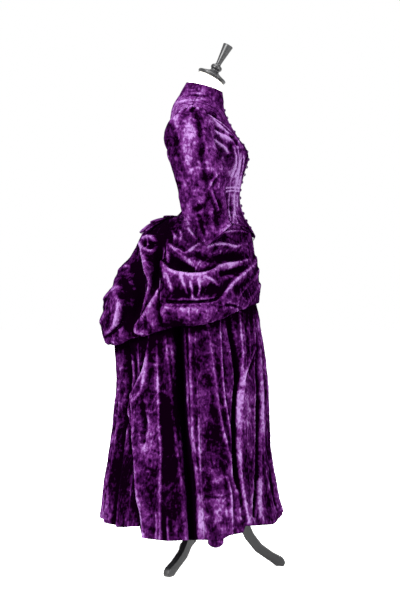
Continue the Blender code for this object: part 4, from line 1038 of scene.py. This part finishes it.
def gore(name, start, end, columns, flat, area):
    """A gore between two lines of (waist, hem) degrees."""
    u, v = grid_of(columns, 140)
    row = 1.0 - v ** 1.15
    left = start[0] + (start[1] - start[0]) * row
    right = end[0] + (end[1] - end[0]) * row
    turned_in = u == 0
    degrees = left + 0.08 + (right - left - 0.16) * u - 0.7 * turned_in
    away = facing(skirt, degrees, row)
    points = skirt(degrees, row)
    around = from_front(degrees)
    at_ends = bell(around, 0.0, 24.0) + bell(around, 180.0, 20.0)
    lift = folded(side_view(points), PLEATS) * (1 - 0.8 * at_ends)
    lift += end_pleats(degrees, row) - 5 * MM * (1 - at_ends)
    grown = np.clip((row - 0.10) / 0.25, 0, 1)
    lift = lift * grown + 1.2 * crushed(points) - 3.2 * MM * turned_in
    outer = points + away * lift[..., None]
    target = np.interp(side_view(outer)[..., 0], *zip(*HEM)) * MM
    hem_height = skirt(degrees, np.ones_like(row))[..., 2]
    outer[..., 2] += (target - hem_height) * np.clip((row - 0.7) / 0.3, 0, 1) ** 1.5
    painted_fold_shade_and_light, edge = painted_fold_light_of(lift, 8, 7 * MM)
    # Painted shadow of the apron: a band of the skirt just below the apron's lower edge is darkened.
    edge_above = on_rings(DRAPE[-1:] * 2, degrees, row)[..., 2]
    painted_fold_shade_and_light = painted_fold_shade_and_light - 1.1 * bell(outer[..., 2], edge_above - 0.01, 0.04)
    obj = wall_of_cloth(name, outer, away, (painted_fold_shade_and_light, edge), velvet)
    worn(obj, name, flat, "hung", ("form_torso",), area=area)


front_seam, side_seam, back_seam = GORE_SEAMS
gore("skirt_front", (-36.0, -49.0), front_seam, 75, (0.62, 1.02), 0.46)
gore("skirt_back", back_seam, (228.0, 227.5), 80, (0.74, 1.04), 0.55)
for side_name, side in SIDES.items():
    for name, low, high, flat, area in (("side_front", front_seam, side_seam, (0.32, 1.02), 0.22),
                                        ("side_back", side_seam, back_seam, (0.42, 1.03), 0.30)):
        ends = [tuple(side * value for value in line) for line in (low, high)]
        gore(f"skirt_{name}_{side_name}", *ends[::side], 50, flat, area)

# %% [markdown]
# On the right side a small fold of the hem's facing has dropped and hangs below the hem like a loop.

# %% Hem fold
# The loop bows away from the skirt and sags most at its middle.
u, v = grid_of(24, 12)
HEM_FOLD_X = (-0.012, 0.034)
x = HEM_FOLD_X[0] + (HEM_FOLD_X[1] - HEM_FOLD_X[0]) * u
y = -0.312 + 0.010 * np.sin(np.pi * u) - 0.006 * v
hang = 0.022 * np.sin(np.pi * (0.06 + 0.88 * u)) ** 0.6
points = np.stack([x, y, 0.150 - (0.016 + hang) * (1 - v)], -1)
away = np.zeros_like(points) + (0.0, -1.0, 0.0)
lift = 0.8 * crushed(points)
hem_fold = wall_of_cloth("hem_fold", points + away * lift[..., None], away, painted_fold_light_of(lift, 5), velvet)
worn(hem_fold, "hem_fold", (0.050, 0.045), "folded", ("skirt_side_front_right",))

# %% [markdown]
# Eighteen small domed buttons close the front. What repeats along a line is made by Geometry Nodes: the
# line is the closing edge from the collar to the point of the basque, the tree spaces the buttons along
# it, turns each to face away from the body and makes them real. The button itself is a dome on a flat
# rim.

# %% Button material
# Horn dyed with the velvet: streaked, and rubbed to a soft gloss.
STREAK = 2.5 * MM
horn, tree, shader, spot = new_material("dyed_horn")
streaks = noise_at(tree, spot, 1 / STREAK, 2.0)
feed(shader, Base_Color=ramp(tree, streaks, ((0.3, "#1a0620"), (0.7, "#3a1844"))),
     Roughness=spread(tree, streaks, 0.40, 0.60), Specular_IOR_Level=0.15)
print("horn nodes:", len(tree.nodes))

# %% Button nodes
BUTTON_COUNT = 18
BUTTON_RADIUS, BUTTON_STAND, WIRE_RADIUS = 4.9 * MM, 0.5 * MM, 0.7 * MM
END_MARGIN = 0.018  # metres without a button at either end of the line
DOME_FLATTER = -0.22  # the share of its height that the dome lacks of a ball
DOME_FOOT = -0.30  # where the ball is cut off flat below, in radii

buttons_tree = bpy.data.node_groups.new("buttons_down_the_front", "GeometryNodeTree")
button = partial(add, buttons_tree)
for way in ("INPUT", "OUTPUT"):
    buttons_tree.interface.new_socket("Geometry", in_out=way, socket_type="NodeSocketGeometry")
button_inputs = {}
for name, kind, value in (("Count", "Int", BUTTON_COUNT), ("Radius", "Float", BUTTON_RADIUS),
                          ("Margin", "Float", END_MARGIN), ("Stand", "Float", BUTTON_STAND)):
    socket = buttons_tree.interface.new_socket(name, in_out="INPUT", socket_type="NodeSocket" + kind)
    socket.default_value = value
    button_inputs[socket.identifier] = value
entry = button("NodeGroupInput").outputs


def maths(operation, *values):
    """The result of one step of arithmetic."""
    inputs = {f"_{place}": value for place, value in enumerate(values)}
    return button("ShaderNodeMath", {"operation": operation}, **inputs).outputs[0]


# The places: points along the trimmed line, each a little off the cloth and turned to face outwards.
line = button("GeometryNodeMeshToCurve", Mesh=entry["Geometry"]).outputs["Curve"]
length = button("GeometryNodeCurveLength", Curve=line).outputs["Length"]
trim = button("GeometryNodeTrimCurve", {"mode": "LENGTH"}, Curve=line, _4=entry["Margin"],
              _5=maths("SUBTRACT", length, entry["Margin"]))
seats = button("GeometryNodeCurveToPoints", {"mode": "COUNT"}, Curve=trim.outputs["Curve"],
               Count=entry["Count"])
facing_out = button("ShaderNodeVectorMath", {"operation": "CROSS_PRODUCT"},
                    _0=seats.outputs["Tangent"], _1=(0.0, 1.0, 0.0)).outputs["Vector"]
turn = button("FunctionNodeAlignRotationToVector", {"axis": "Z"}, Vector=facing_out)
stand = button("ShaderNodeVectorMath", {"operation": "SCALE"}, _0=facing_out, Scale=entry["Stand"])
lifted = button("GeometryNodeSetPosition", Geometry=seats.outputs["Points"], Offset=stand.outputs["Vector"])

# The button: a ball made flatter and cut off below, and a rim of wire round it.
dome = button("GeometryNodeMeshUVSphere", Segments=24, Rings=14, Radius=entry["Radius"])
place = button("GeometryNodeInputPosition").outputs["Position"]
height = button("ShaderNodeSeparateXYZ", Vector=place).outputs["Z"]
flattened = maths("MAXIMUM", height, maths("MULTIPLY", entry["Radius"], DOME_FOOT))
change = maths("MULTIPLY_ADD", height, DOME_FLATTER, maths("SUBTRACT", flattened, height))
offset = button("ShaderNodeCombineXYZ", Z=change)
dome = button("GeometryNodeSetPosition", Geometry=dome.outputs["Mesh"], Offset=offset.outputs["Vector"])
rim_line = button("GeometryNodeCurvePrimitiveCircle", Resolution=24, Radius=entry["Radius"])
wire = button("GeometryNodeCurvePrimitiveCircle", Resolution=8, Radius=WIRE_RADIUS)
rim = button("GeometryNodeCurveToMesh", Curve=rim_line.outputs["Curve"], _1=wire.outputs["Curve"])
whole = button("GeometryNodeJoinGeometry")
for piece in (dome.outputs["Geometry"], rim.outputs["Mesh"]):
    feed(whole, _0=piece)

placed = button("GeometryNodeInstanceOnPoints", Points=lifted.outputs["Geometry"],
                Instance=whole.outputs[0], Rotation=turn.outputs["Rotation"])
real = button("GeometryNodeRealizeInstances", Geometry=placed.outputs["Instances"])
finished = button("GeometryNodeSetMaterial", Geometry=real.outputs["Geometry"], Material=horn)
button("NodeGroupOutput", _0=finished.outputs["Geometry"])
print("button nodes:", len(buttons_tree.nodes))

# %% Buttons
steps = 1 - np.linspace(0, 1, BODICE_STEPS * 6 + 1)
front = np.zeros_like(steps)
row = bodice_row(front, steps)
edge = bodice(front, row) + facing(bodice, front, row) * 1.0 * MM
edge[:, 1] = 0.0
edge_mesh = bpy.data.meshes.new("closing_edge")
edge_mesh.from_pydata((edge + (POLE_X, 0, 0)).tolist(), [(i, i + 1) for i in range(len(edge) - 1)], [])
edge_mesh.materials.append(horn)
closing = in_scene("closing_edge", edge_mesh)
nodes = closing.modifiers.new("buttons", "NODES")
nodes.node_group = buttons_tree
for identifier, value in button_inputs.items():
    nodes[identifier] = value
made = closing.evaluated_get(bpy.context.evaluated_depsgraph_get())
buttons = in_scene("buttons", bpy.data.meshes.new_from_object(made))
bpy.data.objects.remove(closing)
buttons.data.shade_smooth()
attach(buttons, "root")
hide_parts(*[f"button_{number:02d}" for number in range(1, BUTTON_COUNT + 1)])
print("buttons:", len(buttons.data.polygons), "faces of", len(buttons.data.materials), "materials")

# %% [markdown]
# The form is a padded shell. Pale linen covers its neck, from just above the seam of the collar. Below
# that height its body is near black as painted shade, so that where the form shows between the collar
# and the bodice it reads as the shade of the seam; one material changes from one to the other at that
# height. Its cap, hub and legs are turned and sawn from wood and finished in black lacquer: a thin
# clear coat over black, with soft reflections and a few dull places where hands have worn it. The pole
# is blackened iron.

# %% Materials of the form and stand
PAINTED_SHADE_TOP = 1.498
# Linen stretched over the neck, and near black below it as painted shade, so that where the form shows
# between the collar and the bodice it reads as the shade of the seam.
linen_and_painted_shade, tree, shader, spot = new_material("stretched_linen")
weft = add(tree, "ShaderNodeTexWave", {"bands_direction": "Z"}, Vector=spot, Scale=160.0, Distortion=1.5)
cream = ramp(tree, noise_at(tree, spot, 60.0, 4.0), ((0.3, "#e4dfd4"), (0.7, "#f4f1ea")))
height = add(tree, "ShaderNodeSeparateXYZ", Vector=spot).outputs["Z"]
above_collar = add(tree, "ShaderNodeMapRange", _0=height, _1=PAINTED_SHADE_TOP, _2=PAINTED_SHADE_TOP + 2 * MM)
# Near black below the collar seam as painted shade, cream linen above.
linen_over_painted_shade = add(tree, "ShaderNodeMix", {"data_type": "RGBA"}, _0=above_collar.outputs["Result"],
            _6=colour("#08060a"), _7=cream)
weave = add(tree, "ShaderNodeBump", Height=weft.outputs["Fac"], Strength=0.4, Distance=0.3 * MM)
feed(shader, Base_Color=linen_over_painted_shade.outputs[2], Normal=weave.outputs["Normal"], Roughness=0.9)

# Black lacquer on turned and sawn wood, dull where hands have worn it.
lacquer, tree, shader, spot = new_material("black_lacquer")
wear = noise_at(tree, spot, 45.0, 5.0)
brushed = add(tree, "ShaderNodeBump", Height=wear, Strength=0.15, Distance=0.4 * MM)
feed(shader, Base_Color=ramp(tree, wear, ((0.35, "#050506"), (0.75, "#121214"))),
     Roughness=spread(tree, wear, 0.34, 0.55), Normal=brushed.outputs["Normal"],
     Specular_IOR_Level=0.32, Coat_Weight=0.06, Coat_Roughness=0.2)

# Iron blackened with oil, a little scaly.
iron, tree, shader, spot = new_material("blackened_iron")
scale = noise_at(tree, spot, 120.0, 4.0)
feed(shader, Base_Color=ramp(tree, scale, ((0.3, "#101011"), (0.8, "#2c2c2e"))), Metallic=0.6,
     Roughness=0.45)
print("materials:", ", ".join(material.name for material in (velvet, horn, linen_and_painted_shade, lacquer, iron)))

# %% [markdown]
# The turned cap is a lathe profile spun round the axis of the neck. The profile is drawn with many more
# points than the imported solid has, through the same sizes, so that its beads and hollows are round.

# %% Form and neck cap
NECK_LEAN = math.radians(28)
NECK_TOP = np.array([0.0, 0.0, 1.5554])
NECK_RADIUS = 0.0415
CAP_PROFILE = (
    (0.0000, 0.1190), (0.0110, 0.1188), (0.0158, 0.1178), (0.0167, 0.1160), (0.0163, 0.1140),
    (0.0148, 0.1040), (0.0130, 0.0900), (0.0112, 0.0760), (0.0098, 0.0650), (0.0088, 0.0550),
    (0.0086, 0.0500), (0.0098, 0.0470), (0.0130, 0.0450), (0.0165, 0.0425), (0.0181, 0.0390),
    (0.0184, 0.0355), (0.0176, 0.0325), (0.0154, 0.0300), (0.0141, 0.0275), (0.0145, 0.0250),
    (0.0175, 0.0220), (0.0235, 0.0190), (0.0310, 0.0160), (0.0395, 0.0130), (0.0450, 0.0110),
    (0.0474, 0.0090), (0.0480, 0.0066), (0.0474, 0.0044), (0.0450, 0.0022), (0.0420, 0.0006),
    (0.0000, 0.0006),
)
CAP_STEPS = 72
FORM_HIPS = table(
    Ring,
    (0.840, 0.840, 0.0850, -0.105, -0.012, 0.122), (0.960, 0.960, 0.1040, -0.128, -0.012, 0.142),
    (1.030, 1.040, 0.1070, -0.120, -0.010, 0.143),
)


def closed_shell(name, rings, ends, material, part):
    """A shell through rings of points, closed by a point at either end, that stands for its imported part."""
    points = np.concatenate([rings.reshape(-1, 3), ends]) + (POLE_X, 0, 0)
    index = np.arange(rings.shape[0] * rings.shape[1]).reshape(rings.shape[:2])
    after = np.roll(index, -1, axis=1)
    first, last = len(points) - 2, len(points) - 1
    faces = grid_faces(index, True)[:, ::-1].tolist()
    faces += [(first, int(a), int(b)) for a, b in zip(index[0], after[0])]
    faces += [(last, int(b), int(a)) for a, b in zip(index[-1], after[-1])]
    mesh = bpy.data.meshes.new(name)
    mesh.from_pydata(points.tolist(), [], faces)
    mesh.shade_smooth()
    mesh.materials.append(material)
    obj = in_scene(name, mesh)
    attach(obj, "root")
    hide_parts(part)
    print(f"{name}: {len(faces)} faces")


def leaned(x, y, z):
    """Points of something upright, leaned with the neck and set on its top."""
    cos, sin = math.cos(NECK_LEAN), math.sin(NECK_LEAN)
    return np.stack([x * cos + z * sin, y, z * cos - x * sin], -1) + NECK_TOP


profile = smooth_rows(CAP_PROFILE, np.linspace(0, 1, 4 * len(CAP_PROFILE) - 3))
turns = np.radians(np.arange(CAP_STEPS) * 360 / CAP_STEPS)
radius, height = np.maximum(profile[1:-1, :1], 0), profile[1:-1, 1:]
rings = leaned(radius * np.cos(turns), radius * np.sin(turns), height + 0 * turns)
axis = profile[[0, -1], 1]
closed_shell("neck_cap_turned", rings, leaned(0 * axis, 0 * axis, axis), lacquer, "neck_cap")

# The padded form: under the cloth it follows the bodice, and its neck rises out of the collar.
degrees, row = np.meshgrid(np.arange(0, 360, 5.0), np.linspace(0.13, 0.995, 60))
body = bodice(degrees, row) - facing(bodice, degrees, row) * 8 * MM
hips = on_rings(FORM_HIPS, degrees[:18], np.linspace(0, 1, 18)[:, None] + 0 * degrees[:18])
inside = on_rings(COLLAR, degrees[:12], np.linspace(0.15, 1, 12)[:, None] + 0 * degrees[:12])
middle = inside.mean(axis=1, keepdims=True)
inside = middle + (inside - middle) * 0.93
turn = np.radians(degrees[0])
top = leaned(NECK_RADIUS * np.cos(turn), -NECK_RADIUS * np.sin(turn), 0 * turn)
rise = np.linspace(0, 1, 7)[1:, None, None]
neck = inside[-1] * (1 - rise) + top * rise
rings = np.concatenate([hips, body, inside, neck])
closed_shell("padded_form", rings, [rings[0].mean(0), rings[-1].mean(0)], linen_and_painted_shade, "form_torso")

# %% [markdown]
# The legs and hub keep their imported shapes, which are already right: sawn boards let into a turned hub.
# A bevel modifier rounds their edges, as sanding did on the real ones, so that they catch the light.

# %% Stand
for name in ("leg_1", "leg_2", "leg_3", "hub", "pole"):
    material = iron if name == "pole" else lacquer
    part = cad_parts[name]
    part.data.materials.clear()
    part.data.materials.append(material)
    weld = part.modifiers.new("weld", "WELD")
    weld.merge_threshold = 0.05 * MM
    if name != "pole":
        bevel = part.modifiers.new("sanded_edges", "BEVEL")
        bevel.width = 2.0 * MM
        bevel.segments = 3
        bevel.limit_method = "ANGLE"
        bevel.angle_limit = math.radians(40)
    part.data.shade_smooth()
    print(name, "in", material.name)

# %% [markdown]
# The picture was taken on a white sweep under large soft lights. A wide pale floor, a white sky and
# three soft lamps give the same: one from the upper left for the shape of the folds, one from the front
# right, one above.

# %% Floor and light
floor_mesh = bpy.data.meshes.new("studio_floor")
floor_mesh.from_pydata([(-30, -30, 0), (30, -30, 0), (30, 30, 0), (-30, 30, 0)], [], [(0, 1, 2, 3)])
studio_floor = in_scene("studio_floor", floor_mesh)
WHITE = (1, 1, 1, 1)
# A sweep of white paper that glows a little, as paper does under strong light.
paper, _, shader, _ = new_material("white_paper_sweep")
feed(shader, Base_Color=WHITE, Roughness=1.0, Specular_IOR_Level=0.0, Emission_Color=WHITE,
     Emission_Strength=0.8)
floor_mesh.materials.append(paper)

world = bpy.data.worlds.new("white_studio")
bpy.context.scene.world = world
world.use_nodes = True
feed(world.node_tree.nodes["Background"], Color=WHITE, Strength=1.0)

LIT_SPOT = Vector((0, 0, 0.9))


def soft_light(name, place, size, power):
    """A soft box at a place, turned to the middle of the dress."""
    lamp = bpy.data.lights.new(name, "AREA")
    lamp.shape = "RECTANGLE"
    lamp.size, lamp.size_y = size
    lamp.energy = power
    obj = in_scene(name, lamp)
    obj.location = place
    obj.rotation_euler = (LIT_SPOT - Vector(place)).to_track_quat("-Z", "Y").to_euler()
    print(name, power, "W")


soft_light("left_light", (-2.2, -2.6, 2.4), (1.2, 1.8), 400)
soft_light("right_light", (2.6, -1.8, 1.8), (0.9, 1.8), 150)
soft_light("top_light", (0.2, -0.4, 3.4), (1.6, 1.6), 130)
bpy.context.scene.view_settings.view_transform = "Standard"
